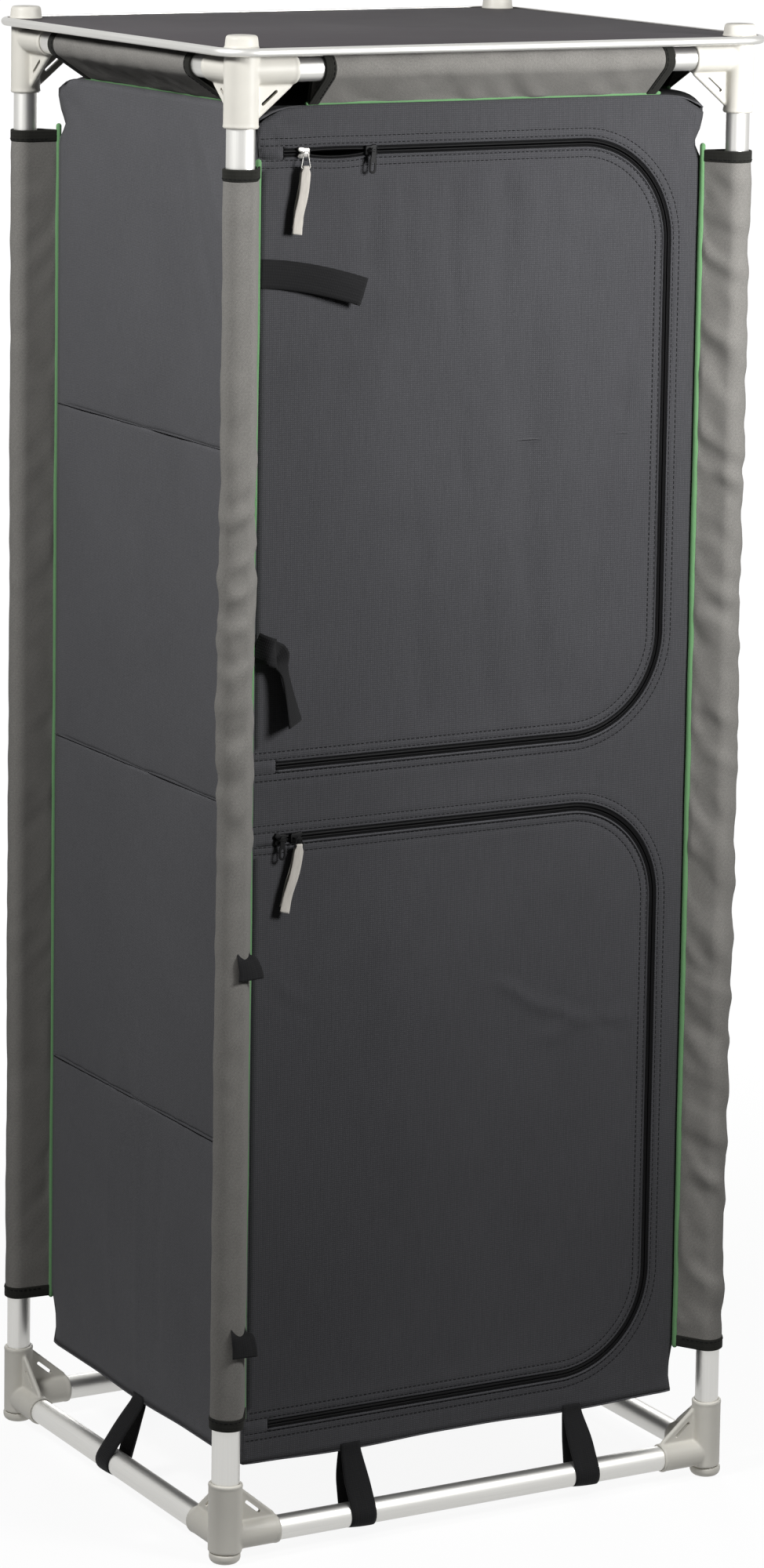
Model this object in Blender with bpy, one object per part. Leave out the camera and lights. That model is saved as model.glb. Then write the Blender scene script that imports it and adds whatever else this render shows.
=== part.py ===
"""Fabric camp kitchen cupboard.

Four oval aluminium posts and eight round rails push into eight moulded corner connectors. A sewn fabric
body with three shelves hangs in that frame from tunnels round the top rails and the posts, webbing loops
hold it down to the bottom rails, and two D-shaped zipped doors open at the left. A board in an aluminium
rim plugs into the four top connectors. Metres, +Z up, the front faces -Y, and the feet stand on Z = 0.
"""

import math

import bmesh
import bpy
from mathutils import Matrix, Vector
from mathutils.geometry import convex_hull_2d

# Frame layout, measured between the posts' axes
POST_SPACING_X = 0.500
POST_SPACING_Y = 0.418
FRAME_HEIGHT = 1.3095
SEAT_GAP = 0.0003

# Tubes
POST_WIDE = 0.0252
POST_NARROW = 0.0210
RAIL_DIAMETER = 0.0220
TUBE_WALL = 0.0012

# Corner connectors
CONNECTOR_HEIGHT = 0.0625
BARREL_WALL = 0.0023
BARREL_EDGE = 0.0009
END_WALL = 0.0040
ARM_LENGTH = 0.0505
ARM_WALL = 0.0013
ARM_EDGE = 0.0008
ARM_SET_DOWN = 0.0004
SOCKET_FLOOR = 0.0145
GUSSET_THICKNESS = 0.0036
GUSSET_REACH = 0.0475
GUSSET_DROP = 0.0545
GUSSET_TOE = 0.0015
GUSSET_SLOT_LENGTH = 0.0190
GUSSET_SLOT_WIDTH = 0.0029
GUSSET_SLOT_INSET = 0.0049
GUSSET_SLOT_PLACE_SHARE = 0.52
CUT_OVERRUN = 0.0020

# Levelling feet, a pad on a threaded stud
FOOT_PAD_RADIUS = 0.0140
FOOT_PAD_HEIGHT = 0.0090
FOOT_PAD_EDGE = 0.0008
FOOT_PAD_ROUND = 0.0050
FOOT_SCREW_GAP = 0.0005
STUD_DIAMETER = 0.0080
STUD_LENGTH = 0.0220
STUD_EDGE = 0.0010

# Table top: board, rim and the four plugs that seat it
TOP_OVERHANG = 0.0250
TOP_CORNER_RADIUS = 0.0320
BOARD_THICKNESS = 0.0050
RIM_HEIGHT = 0.0074
RIM_LIP = 0.0030
RIM_WALL = 0.0024
RIM_NOSE_SETBACK = 0.0010
PLUG_RADIUS = 0.0150
PLUG_TOP_RADIUS = 0.0136
PLUG_HEIGHT = 0.0110
PLUG_EDGE = 0.0018
PLUG_FOOT = 0.0012
PLUG_STEM_LENGTH = 0.0170

# Fabric body
FABRIC = 0.0012
BODY_INSET_X = 0.0220
BODY_INSET_Y = 0.0180
FLOOR_OVER_RAIL = 0.0525
ROOF_UNDER_RAIL = 0.0300
FLOOR_THICKNESS = 0.0020
SHELF_THICKNESS = 0.0035
LOWER_SHELF_RISE = 0.2810
MIDDLE_SHELF_RISE = 0.5870
UPPER_SHELF_RISE = 0.8970
WALL_BULGE = 0.0032
WALL_BULGE_SHARE = 0.6
WALL_FOLD_DEPTH = 0.0011
WALL_FOLD_PITCH = 0.1350
WALL_EDGE_FADE = 0.0600
WALL_COLUMNS = 12
WALL_ROWS_PER_SHELF = 4

# Tunnels that hold the body to the posts and to the top rails, with a piping bead along each seam
TUNNEL_FABRIC = 0.0010
BARE_POST_BELOW = 0.0460
BARE_POST_ABOVE = 0.0345
BARE_RAIL_X = 0.0245
BARE_RAIL_Y = 0.0215
POST_PIPING_RADIUS = 0.0022
RAIL_PIPING_RADIUS = 0.0018

# Webbing: loops round the bottom rails and ties for the rolled doors
WEBBING_WIDTH = 0.0250
WEBBING_THICKNESS = 0.0012
FRONT_LOOP_SPACING = 0.2340
SIDE_LOOP_OFFSET = 0.0100
LOOP_SEAM_INSET = 0.0020

# Doors, by the widths of cloth left round them
LEFT_STILE = 0.0150
RIGHT_STILE = 0.0380
TOP_STILE = 0.0430
BOTTOM_STILE = 0.0430
UPPER_DOOR_OVER_SHELF = 0.0350
LOWER_DOOR_UNDER_SHELF = 0.0250
DOOR_CORNER_RADIUS = 0.0900
DOOR_CLEARANCE = 0.0005

# Zips: a raised coil along both edges, with sliders that straddle it
ZIP_SETBACK = 0.0110
COIL_WIDTH = 0.0026
COIL_HEIGHT = 0.0010
SLIDER_LENGTH = 0.0120
SLIDER_MOUTH = 0.0098
SLIDER_TAIL = 0.0082
SLIDER_HEIGHT = 0.0028
SLIDER_STANDOFF = 0.0003
SLIDER_CORNER = 0.0016
BRIDGE_SPAN = 0.0080
BRIDGE_HEIGHT = 0.0044
BRIDGE_BAR = 0.0012
BRIDGE_WIDTH = 0.0018
UPPER_SILVER_SLIDER_RUN = 0.0210
UPPER_BLACK_SLIDER_RUN = 0.0874
LOWER_END_SLIDER_RUN = 0.0070
LOWER_LEAD_SLIDER_RUN = 0.0230

# Pulls on the sliders' bridges
LINK_WIRE = 0.0011
LINK_INNER_RADIUS = 0.0015
LINK_LENGTH = 0.0110
SHORT_LINK_LENGTH = 0.0060
LINK_BITE = 0.0014
RIBBON_WIDTH = 0.0095
RIBBON_THICKNESS = 0.0014
UPPER_RIBBON_LENGTH = 0.0600
LOWER_RIBBON_LENGTH = 0.0560
RIBBON_DRIFT = 0.0060
METAL_PULL_WIDTH = 0.0062
METAL_PULL_NECK = 0.0034
METAL_PULL_LENGTH = 0.0170
METAL_PULL_THICKNESS = 0.0013

# Door ties, as they hang: distances from the hinge line, the door's face and the tie's root
TIE_STANDOFF = 0.0011
TOP_TIE_BELOW_ZIP = 0.1000
TOP_TIE_REACH = 0.0800
TOP_TIE_BOW = 0.0070
TOP_TIE_SAG = 0.0190
TOP_TIE_SLANT_SHARE = 0.25
SECOND_TIE_OVER_ZIP = 0.1120
SECOND_TIE_REACH = 0.0130
SECOND_TIE_RISE = 0.0100
SECOND_TIE_DIP = 0.0030
SECOND_TIE_DROP = 0.0750
SECOND_TIE_SLANT = 0.0120
SECOND_TIE_FOLD_SHARE = 0.3
SECOND_TIE_TURN_SHARE = 0.7
TOP_STUB_BELOW_ZIP = 0.0950
BOTTOM_STUB_OVER_ZIP = 0.0920
STUB_TIE_INSET = 0.0055
STUB_TIE_REACH = 0.0336
STUB_TIE_SIDE = 0.0240
STUB_TIE_DROP = 0.0260
STUB_TIE_FACING_SHARE = 0.15
STUB_TIE_SHARES = (
    (0.0, 0.0, 0.0, 0.0),
    (0.0, 0.0, 0.5, 0.0),
    (0.1, 0.02, 0.85, 0.15),
    (0.5, 0.1, 1.0, 0.45),
    (0.85, 0.3, 1.02, 0.8),
    (0.97, 0.6, 1.0, 1.0),
    (1.0, 1.0, 1.0, 1.0),
)

# Facet counts
OVAL_SIDES = 20
ROUND_SIDES = 20
SMALL_SIDES = 10
CORNER_STEPS = 6
DOOR_CORNER_STEPS = 9

# Places worked out from the sizes above
HALF_X = POST_SPACING_X / 2
HALF_Y = POST_SPACING_Y / 2
FRAME_BOTTOM = FOOT_PAD_HEIGHT + FOOT_SCREW_GAP
FRAME_TOP = FRAME_BOTTOM + FRAME_HEIGHT
RAIL_RADIUS = RAIL_DIAMETER / 2
SOCKET_RADIUS = RAIL_RADIUS + SEAT_GAP
ARM_RADIUS = SOCKET_RADIUS + ARM_WALL
ARM_DEPTH = ARM_RADIUS + ARM_SET_DOWN
TOP_RAIL_Z = FRAME_TOP - ARM_DEPTH
BOTTOM_RAIL_Z = FRAME_BOTTOM + ARM_DEPTH
BOARD_BOTTOM = FRAME_TOP + SEAT_GAP
BOARD_TOP = BOARD_BOTTOM + BOARD_THICKNESS
WALL_X = HALF_X - BODY_INSET_X
WALL_Y = HALF_Y - BODY_INSET_Y
BODY_BOTTOM = BOTTOM_RAIL_Z + FLOOR_OVER_RAIL
BODY_TOP = TOP_RAIL_Z - ROOF_UNDER_RAIL
WALL_BOTTOM = BODY_BOTTOM + FLOOR_THICKNESS + SEAT_GAP
WALL_TOP = BODY_TOP - FABRIC - SEAT_GAP
LOWER_SHELF_Z = BODY_BOTTOM + LOWER_SHELF_RISE
MIDDLE_SHELF_Z = BODY_BOTTOM + MIDDLE_SHELF_RISE
UPPER_SHELF_Z = BODY_BOTTOM + UPPER_SHELF_RISE
POST_TUNNEL_BOTTOM = FRAME_BOTTOM + CONNECTOR_HEIGHT + BARE_POST_BELOW
POST_TUNNEL_TOP = FRAME_TOP - CONNECTOR_HEIGHT - BARE_POST_ABOVE
DOOR_HINGE_X = LEFT_STILE - WALL_X
DOOR_RIGHT_X = WALL_X - RIGHT_STILE
UPPER_DOOR_BOTTOM = MIDDLE_SHELF_Z + UPPER_DOOR_OVER_SHELF
UPPER_DOOR_TOP = BODY_TOP - TOP_STILE
LOWER_DOOR_BOTTOM = BODY_BOTTOM + BOTTOM_STILE
LOWER_DOOR_TOP = MIDDLE_SHELF_Z - LOWER_DOOR_UNDER_SHELF
ZIP_START_X = DOOR_HINGE_X + ZIP_SETBACK

FACING_FRONT = (math.pi / 2, 0, 0)
FACING_RIGHT = (math.pi / 2, 0, math.pi / 2)
FACING_BACK = (math.pi / 2, 0, math.pi)
FACING_LEFT = (math.pi / 2, 0, -math.pi / 2)

CORNERS = {
    "front_left": (-1, -1, 0),
    "front_right": (1, -1, math.pi / 2),
    "back_right": (1, 1, math.pi),
    "back_left": (-1, 1, -math.pi / 2),
}


def material(name, colour, roughness, metallic=0.0):
    """Principled material with a linear colour."""
    made = bpy.data.materials.new(name)
    made.use_nodes = True
    shader = made.node_tree.nodes["Principled BSDF"]
    shader.inputs["Base Color"].default_value = (*colour, 1.0)
    shader.inputs["Roughness"].default_value = roughness
    shader.inputs["Metallic"].default_value = metallic
    made.diffuse_color = (*colour, 1.0)
    return made


def place(name, mesh, look, location=(0, 0, 0), rotation=(0, 0, 0), smooth=True):
    """Named object in the scene, its mesh shaded smooth except at sharp edges."""
    obj = bpy.data.objects.new(name, mesh)
    obj.location = location
    obj.rotation_euler = rotation
    bpy.context.scene.collection.objects.link(obj)
    if not mesh.materials:
        mesh.materials.append(look)
    if smooth:
        mesh.shade_smooth()
        mesh.set_sharp_from_angle(angle=math.radians(35))
    return obj


def mesh_from(bm, name="shape"):
    """Mesh data with its faces turned outwards, from a bmesh that is then freed."""
    bmesh.ops.recalc_face_normals(bm, faces=bm.faces)
    mesh = bpy.data.meshes.new(name)
    bm.to_mesh(mesh)
    bm.free()
    return mesh


def moved(mesh, matrix):
    """The same mesh carried by a matrix."""
    mesh.transform(matrix)
    return mesh


def turn(axis, angle):
    return Matrix.Rotation(angle, 4, axis)


def shift(x=0.0, y=0.0, z=0.0):
    return Matrix.Translation((x, y, z))


def section_along_x():
    """Stands a section drawn in XY up in YZ, its thickness along X."""
    return turn("Y", math.pi / 2) @ turn("Z", math.pi / 2)


def arc(x, y, radius, start, end, steps):
    """Points of an arc, with angles in quarter turns."""
    points = []
    for i in range(steps + 1):
        angle = math.pi / 2 * (start + (end - start) * i / steps)
        points.append((x + radius * math.cos(angle), y + radius * math.sin(angle)))
    return points


def oval(wide, narrow, angle=0.0, sides=OVAL_SIDES, x=0.0, y=0.0):
    """Ellipse outline with its full width along the given angle."""
    points = []
    for i in range(sides):
        t = 2 * math.pi * i / sides
        u = wide / 2 * math.cos(t)
        v = narrow / 2 * math.sin(t)
        points.append((x + u * math.cos(angle) - v * math.sin(angle), y + u * math.sin(angle) + v * math.cos(angle)))
    return points


def ring(radius, sides=ROUND_SIDES, x=0.0, y=0.0):
    return oval(radius * 2, radius * 2, 0.0, sides, x, y)


def rounded_rectangle(width, depth, radius, steps=CORNER_STEPS):
    """Outline about the origin, counted from the right side's lower end."""
    x = width / 2 - radius
    y = depth / 2 - radius
    points = []
    for quarter, (sx, sy) in enumerate(((1, 1), (-1, 1), (-1, -1), (1, -1))):
        points += arc(sx * x, sy * y, radius, quarter, quarter + 1, steps)
    return points


def slot_outline(length, width, steps=4):
    """Round-ended slot about the origin, along X."""
    reach = (length - width) / 2
    return arc(reach, 0, width / 2, -1, 1, steps) + arc(-reach, 0, width / 2, 1, 3, steps)


def slab(loops, thickness, start=0.0):
    """Flat plate from an outer outline and its holes in the XY plane, from Z = start up."""
    bm = bmesh.new()
    for loop in loops:
        verts = [bm.verts.new((x, y, start)) for x, y in loop]
        for a, b in zip(verts, verts[1:] + verts[:1]):
            bm.edges.new((a, b))
    filled = bmesh.ops.triangle_fill(bm, use_beauty=True, use_dissolve=False, edges=bm.edges[:])
    faces = [item for item in filled["geom"] if isinstance(item, bmesh.types.BMFace)]
    grown = bmesh.ops.extrude_face_region(bm, geom=faces)
    top = [item for item in grown["geom"] if isinstance(item, bmesh.types.BMVert)]
    bmesh.ops.translate(bm, verts=top, vec=(0, 0, thickness))
    return mesh_from(bm)


def lofted(rings, closed=False):
    """Body through rings of equal counts, capped at both ends, or closed onto its first ring."""
    bm = bmesh.new()
    rows = [[bm.verts.new(point) for point in points] for points in rings]
    pairs = list(zip(rows, rows[1:]))
    if closed:
        pairs.append((rows[-1], rows[0]))
    for low, high in pairs:
        for i in range(len(low)):
            j = (i + 1) % len(low)
            bm.faces.new((low[i], low[j], high[j], high[i]))
    if not closed:
        bm.faces.new(rows[0][::-1])
        bm.faces.new(rows[-1])
    return mesh_from(bm)


def turned(profile, sides=ROUND_SIDES):
    """Solid of revolution about Z from (radius, height) pairs, bottom to top."""
    return lofted([[(x, y, z) for x, y in ring(radius, sides)] for radius, z in profile])


def tube_along(points, radius, sides=6, closed=False):
    """Round bar along a path of points in one plane that holds X, or square to it."""
    count = len(points)
    side = plane_normal(points)
    rings = []
    for i, point in enumerate(points):
        before = points[(i - 1) % count] if closed or i else point
        after = points[(i + 1) % count] if closed or i < count - 1 else point
        ahead = (after - before).normalized()
        out = ahead.cross(side).normalized()
        rings.append([point + out * u + side * v for u, v in ring(radius, sides)])
    return lofted(rings, closed)


def plane_normal(points):
    """Unit normal of the plane that a bent path lies in."""
    first = points[1] - points[0]
    for point in points[2:]:
        normal = first.cross(point - points[0])
        if normal.length > SEAT_GAP * SEAT_GAP:
            return normal.normalized()
    return first.orthogonal().normalized()


def ribbon_along(points, across, widths, thickness):
    """Flat strip along a path, with its width and the direction of that width given for each point."""
    rings = []
    for i, point in enumerate(points):
        before = points[max(i - 1, 0)]
        after = points[min(i + 1, len(points) - 1)]
        ahead = (after - before).normalized()
        wide = across[i].normalized()
        thick = ahead.cross(wide).normalized()
        wide = thick.cross(ahead).normalized()
        u = wide * widths[i] / 2
        v = thick * thickness / 2
        rings.append([point - u - v, point + u - v, point + u + v, point - u + v])
    return lofted(rings)


def combined(base, tool, operation):
    """Mesh of base with the tool's mesh joined to it or cut out of it."""
    target = bpy.data.objects.new("target", base)
    other = bpy.data.objects.new("other", tool)
    for obj in (target, other):
        bpy.context.scene.collection.objects.link(obj)
    modifier = target.modifiers.new("combine", "BOOLEAN")
    modifier.operation = operation
    modifier.object = other
    graph = bpy.context.evaluated_depsgraph_get()
    result = bpy.data.meshes.new_from_object(target.evaluated_get(graph))
    bpy.data.objects.remove(target)
    bpy.data.objects.remove(other)
    return result


def joined(base, *tools):
    for tool in tools:
        base = combined(base, tool, "UNION")
    return base


def cut(base, *tools):
    for tool in tools:
        base = combined(base, tool, "DIFFERENCE")
    return base


def oval_at(angle, wide, narrow, height):
    """Ring of points for a loft, one height of an oval turned to the angle."""
    return [(x, y, height) for x, y in oval(wide, narrow, angle)]


def post_axis(ex, ey):
    return ex * HALF_X, ey * HALF_Y


def barrel():
    """Oval body of a connector, its closed end at Z = 0 and its mouth below."""
    across = -math.pi / 4
    wide = POST_WIDE + 2 * (SEAT_GAP + BARREL_WALL)
    narrow = POST_NARROW + 2 * (SEAT_GAP + BARREL_WALL)
    edge = 2 * BARREL_EDGE
    return lofted(
        [
            oval_at(across, wide - edge, narrow - edge, -CONNECTOR_HEIGHT),
            oval_at(across, wide, narrow, BARREL_EDGE - CONNECTOR_HEIGHT),
            oval_at(across, wide, narrow, -BARREL_EDGE),
            oval_at(across, wide - edge, narrow - edge, 0),
        ]
    )


def post_socket():
    """Cutter for the oval socket that the post pushes into."""
    across = -math.pi / 4
    wide = POST_WIDE + 2 * SEAT_GAP
    narrow = POST_NARROW + 2 * SEAT_GAP
    return lofted(
        [
            oval_at(across, wide, narrow, -CONNECTOR_HEIGHT - CUT_OVERRUN),
            oval_at(across, wide, narrow, -END_WALL),
        ]
    )


def arm_matrix(quarter):
    """Carries a shape that stands on Z to an arm's axis, along X or, a quarter turn on, along Y."""
    return turn("Z", quarter * math.pi / 2) @ shift(z=-ARM_DEPTH) @ turn("Y", math.pi / 2)


def arm(quarter):
    profile = [(ARM_RADIUS, 0), (ARM_RADIUS, ARM_LENGTH - ARM_EDGE), (ARM_RADIUS - ARM_EDGE, ARM_LENGTH)]
    return moved(turned(profile, ROUND_SIDES), arm_matrix(quarter))


def arm_socket(quarter):
    profile = [(SOCKET_RADIUS, SOCKET_FLOOR), (SOCKET_RADIUS, ARM_LENGTH + CUT_OVERRUN)]
    return moved(turned(profile, ROUND_SIDES), arm_matrix(quarter))


def gusset_edge():
    """Both ends of the gusset's sloping edge, out along the arm and down the barrel."""
    barrel_side = POST_NARROW / 2 + BARREL_WALL
    return Vector((GUSSET_REACH, -ARM_DEPTH - ARM_RADIUS)), Vector((barrel_side, -GUSSET_DROP))


def gusset(quarter):
    """Web between barrel and arm."""
    high, low = gusset_edge()
    outline = [
        (0, -ARM_DEPTH),
        (high.x, -ARM_DEPTH),
        (high.x, high.y - GUSSET_TOE),
        (low.x, low.y - GUSSET_TOE),
        (0, low.y - GUSSET_TOE),
    ]
    plate = slab([outline], GUSSET_THICKNESS, -GUSSET_THICKNESS / 2)
    return moved(plate, turn("Z", quarter * math.pi / 2) @ turn("X", math.pi / 2))


def gusset_slot(quarter):
    """Cutter for the slot that runs along the gusset's sloping edge."""
    high, low = gusset_edge()
    along = (low - high).normalized()
    inward = Vector((along.y, -along.x))
    if inward.x > 0:
        inward = -inward
    middle = high.lerp(low, GUSSET_SLOT_PLACE_SHARE) + inward * GUSSET_SLOT_INSET
    depth = GUSSET_THICKNESS + 2 * CUT_OVERRUN
    cutter = slab([slot_outline(GUSSET_SLOT_LENGTH, GUSSET_SLOT_WIDTH)], depth, -depth / 2)
    lie = shift(middle.x, middle.y) @ turn("Z", math.atan2(along.y, along.x))
    return moved(cutter, turn("Z", quarter * math.pi / 2) @ turn("X", math.pi / 2) @ lie)


def stud_bore():
    """Cutter for the round hole through the connector's closed end."""
    radius = STUD_DIAMETER / 2 + SEAT_GAP
    return turned([(radius, -END_WALL - CUT_OVERRUN), (radius, CUT_OVERRUN)], SMALL_SIDES)


def connector_mesh():
    """Three-way moulded connector for the front left corner, seen from above."""
    body = joined(barrel(), arm(0), arm(1), gusset(0), gusset(1))
    return cut(body, post_socket(), arm_socket(0), arm_socket(1), gusset_slot(0), gusset_slot(1), stud_bore())


def make_connectors(plastic):
    """The same moulding at all eight corners, turned over at the bottom."""
    mesh = connector_mesh()
    for corner, (ex, ey, quarter) in CORNERS.items():
        x, y = post_axis(ex, ey)
        place(f"top_connector_{corner}", mesh, plastic, (x, y, FRAME_TOP), (0, 0, quarter))
        upside_down = (math.pi, 0, quarter + math.pi / 2)
        place(f"bottom_connector_{corner}", mesh, plastic, (x, y, FRAME_BOTTOM), upside_down)


def make_posts(metal):
    """Oval tubes between the end walls of the connectors."""
    length = FRAME_HEIGHT - 2 * (END_WALL + SEAT_GAP)
    outer = oval(POST_WIDE, POST_NARROW, -math.pi / 4)
    inner = oval(POST_WIDE - 2 * TUBE_WALL, POST_NARROW - 2 * TUBE_WALL, -math.pi / 4)
    mesh = slab([outer, inner], length)
    for corner, (ex, ey, quarter) in CORNERS.items():
        x, y = post_axis(ex, ey)
        place(f"post_{corner}", mesh, metal, (x, y, FRAME_BOTTOM + END_WALL + SEAT_GAP), (0, 0, quarter))


def rail_mesh(spacing):
    """Round tube from socket floor to socket floor, standing on its middle."""
    length = spacing - 2 * (SOCKET_FLOOR + SEAT_GAP)
    return slab([ring(RAIL_RADIUS), ring(RAIL_RADIUS - TUBE_WALL)], length, -length / 2)


def make_rails(metal):
    """Top and bottom rails along all four sides."""
    along_x = (0, math.pi / 2, 0)
    along_y = (-math.pi / 2, 0, 0)
    wide = rail_mesh(POST_SPACING_X)
    deep = rail_mesh(POST_SPACING_Y)
    for level, height in (("top", TOP_RAIL_Z), ("bottom", BOTTOM_RAIL_Z)):
        place(f"{level}_rail_front", wide, metal, (0, -HALF_Y, height), along_x)
        place(f"{level}_rail_back", wide, metal, (0, HALF_Y, height), along_x)
        place(f"{level}_rail_left", deep, metal, (-HALF_X, 0, height), along_y)
        place(f"{level}_rail_right", deep, metal, (HALF_X, 0, height), along_y)


def make_feet(plastic):
    """Levelling feet, each a pad on its stud, screwed right in."""
    stud = STUD_DIAMETER / 2
    pad = FOOT_PAD_RADIUS
    profile = [(pad - FOOT_PAD_ROUND, 0)]
    for x, z in arc(pad - FOOT_PAD_ROUND, FOOT_PAD_ROUND, FOOT_PAD_ROUND, -1, 0, 4)[1:]:
        profile.append((x, z))
    profile += [
        (pad, FOOT_PAD_HEIGHT - FOOT_PAD_EDGE),
        (pad - FOOT_PAD_EDGE, FOOT_PAD_HEIGHT),
        (stud, FOOT_PAD_HEIGHT),
        (stud, FOOT_PAD_HEIGHT + STUD_LENGTH - STUD_EDGE),
        (stud - STUD_EDGE, FOOT_PAD_HEIGHT + STUD_LENGTH),
    ]
    mesh = turned(profile, ROUND_SIDES)
    for corner, (ex, ey, _) in CORNERS.items():
        x, y = post_axis(ex, ey)
        place(f"foot_{corner}", mesh, plastic, (x, y, 0))


def make_table_top(board_look, metal, plastic):
    """Board, the rim that grips its edge, and the plug at each corner."""
    reach = 2 * (TOP_OVERHANG - RIM_WALL - SEAT_GAP)
    width = POST_SPACING_X + reach
    depth = POST_SPACING_Y + reach
    radius = TOP_CORNER_RADIUS - RIM_WALL - SEAT_GAP
    loops = [rounded_rectangle(width, depth, radius)]
    for ex, ey, _ in CORNERS.values():
        x, y = post_axis(ex, ey)
        loops.append(ring(STUD_DIAMETER / 2 + SEAT_GAP, SMALL_SIDES, x, y))
    place("table_board", slab(loops, BOARD_THICKNESS), board_look, (0, 0, BOARD_BOTTOM))
    rim_rings = []
    for out, up in rim_profile():
        outline = rounded_rectangle(width + 2 * out, depth + 2 * out, radius + out)
        rim_rings.append([(x, y, up) for x, y in outline])
    middle = BOARD_BOTTOM + BOARD_THICKNESS / 2
    place("table_rim", lofted(rim_rings, closed=True), metal, (0, 0, middle))
    for corner, (ex, ey, _) in CORNERS.items():
        x, y = post_axis(ex, ey)
        place(f"table_plug_{corner}", turned(plug_profile(), ROUND_SIDES), plastic, (x, y, BOARD_TOP + SEAT_GAP))


def rim_profile():
    """Channel section round the board's edge, with a rounded nose, about the board's middle height."""
    half = RIM_HEIGHT / 2
    mouth = BOARD_THICKNESS / 2 + SEAT_GAP
    nose = arc(RIM_WALL + SEAT_GAP - half, 0, half, -1, 1, 8)
    return [(-RIM_LIP, -half), *nose, (-RIM_LIP, half), (-RIM_LIP, mouth), (SEAT_GAP, mouth), (SEAT_GAP, -mouth), (-RIM_LIP, -mouth)]


def plug_profile():
    """Round cap with a stem that passes through the board into the connector."""
    stem = STUD_DIAMETER / 2
    return [
        (stem - STUD_EDGE, -PLUG_STEM_LENGTH),
        (stem, STUD_EDGE - PLUG_STEM_LENGTH),
        (stem, 0),
        (PLUG_RADIUS, 0),
        (PLUG_RADIUS, PLUG_FOOT),
        (PLUG_TOP_RADIUS, PLUG_HEIGHT - PLUG_EDGE),
        (PLUG_TOP_RADIUS - PLUG_EDGE / 3, PLUG_HEIGHT - PLUG_EDGE / 3),
        (PLUG_TOP_RADIUS - PLUG_EDGE, PLUG_HEIGHT),
    ]


def wall_relief(across, up, width, seams):
    """How far the cloth stands out of its plane: a pillow between seams, with soft upright folds."""
    low = max(seam for seam in seams[:-1] if seam <= up + SEAT_GAP)
    high = seams[seams.index(low) + 1]
    between = math.sin(math.pi * min(max((up - low) / (high - low), 0), 1))
    edge = min(1.0, (width / 2 - abs(across)) / WALL_EDGE_FADE)
    folds = WALL_FOLD_DEPTH * math.cos(2 * math.pi * across / WALL_FOLD_PITCH)
    return max(0.0, between) ** WALL_BULGE_SHARE * edge * (WALL_BULGE + folds)


def wall_mesh(width, seams):
    """Cloth wall about X = 0 with its outer face towards +Z, from the lowest seam to the highest."""
    heights = []
    for low, high in zip(seams, seams[1:]):
        heights += [low + (high - low) * i / WALL_ROWS_PER_SHELF for i in range(WALL_ROWS_PER_SHELF)]
    heights.append(seams[-1])
    places = [width * (i / WALL_COLUMNS - 1 / 2) for i in range(WALL_COLUMNS + 1)]
    bm = bmesh.new()
    outer = []
    inner = []
    for up in heights:
        reliefs = [wall_relief(across, up, width, seams) for across in places]
        outer.append([bm.verts.new((x, up, out)) for x, out in zip(places, reliefs)])
        inner.append([bm.verts.new((x, up, out - FABRIC)) for x, out in zip(places, reliefs)])
    for sheet in (outer, inner):
        for low, high in zip(sheet, sheet[1:]):
            for i in range(WALL_COLUMNS):
                bm.faces.new((low[i], low[i + 1], high[i + 1], high[i]))
    for i in range(WALL_COLUMNS):
        bm.faces.new((outer[0][i], outer[0][i + 1], inner[0][i + 1], inner[0][i]))
        bm.faces.new((outer[-1][i], outer[-1][i + 1], inner[-1][i + 1], inner[-1][i]))
    for side in (0, -1):
        for j in range(len(heights) - 1):
            bm.faces.new((outer[j][side], outer[j + 1][side], inner[j + 1][side], inner[j][side]))
    return mesh_from(bm)


def make_walls(cloth):
    """Back and side walls, stitched through at each shelf."""
    seams = (WALL_BOTTOM, LOWER_SHELF_Z, MIDDLE_SHELF_Z, UPPER_SHELF_Z, WALL_TOP)
    place("back_panel", wall_mesh(2 * WALL_X, seams), cloth, (0, WALL_Y, 0), FACING_BACK)
    between = 2 * (WALL_Y - FABRIC - SEAT_GAP)
    place("left_panel", wall_mesh(between, seams), cloth, (-WALL_X, 0, 0), FACING_LEFT)
    place("right_panel", wall_mesh(between, seams), cloth, (WALL_X, 0, 0), FACING_RIGHT)


def make_roof(cloth):
    outline = [(-WALL_X, -WALL_Y), (WALL_X, -WALL_Y), (WALL_X, WALL_Y), (-WALL_X, WALL_Y)]
    place("roof_panel", slab([outline], FABRIC), cloth, (0, 0, BODY_TOP - FABRIC), smooth=False)


def make_shelves(board_look):
    """Stiff shelves that fill the body from wall to wall."""
    x = WALL_X - FABRIC - SEAT_GAP
    y = WALL_Y - FABRIC - SEAT_GAP
    outline = [(-x, -y), (x, -y), (x, y), (-x, y)]
    for name, height in (("lower", LOWER_SHELF_Z), ("middle", MIDDLE_SHELF_Z), ("upper", UPPER_SHELF_Z)):
        mesh = slab([outline], SHELF_THICKNESS, -SHELF_THICKNESS / 2)
        place(f"shelf_{name}", mesh, board_look, (0, 0, height), smooth=False)


def hull(points):
    return [points[i] for i in convex_hull_2d([Vector(point) for point in points])]


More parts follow.
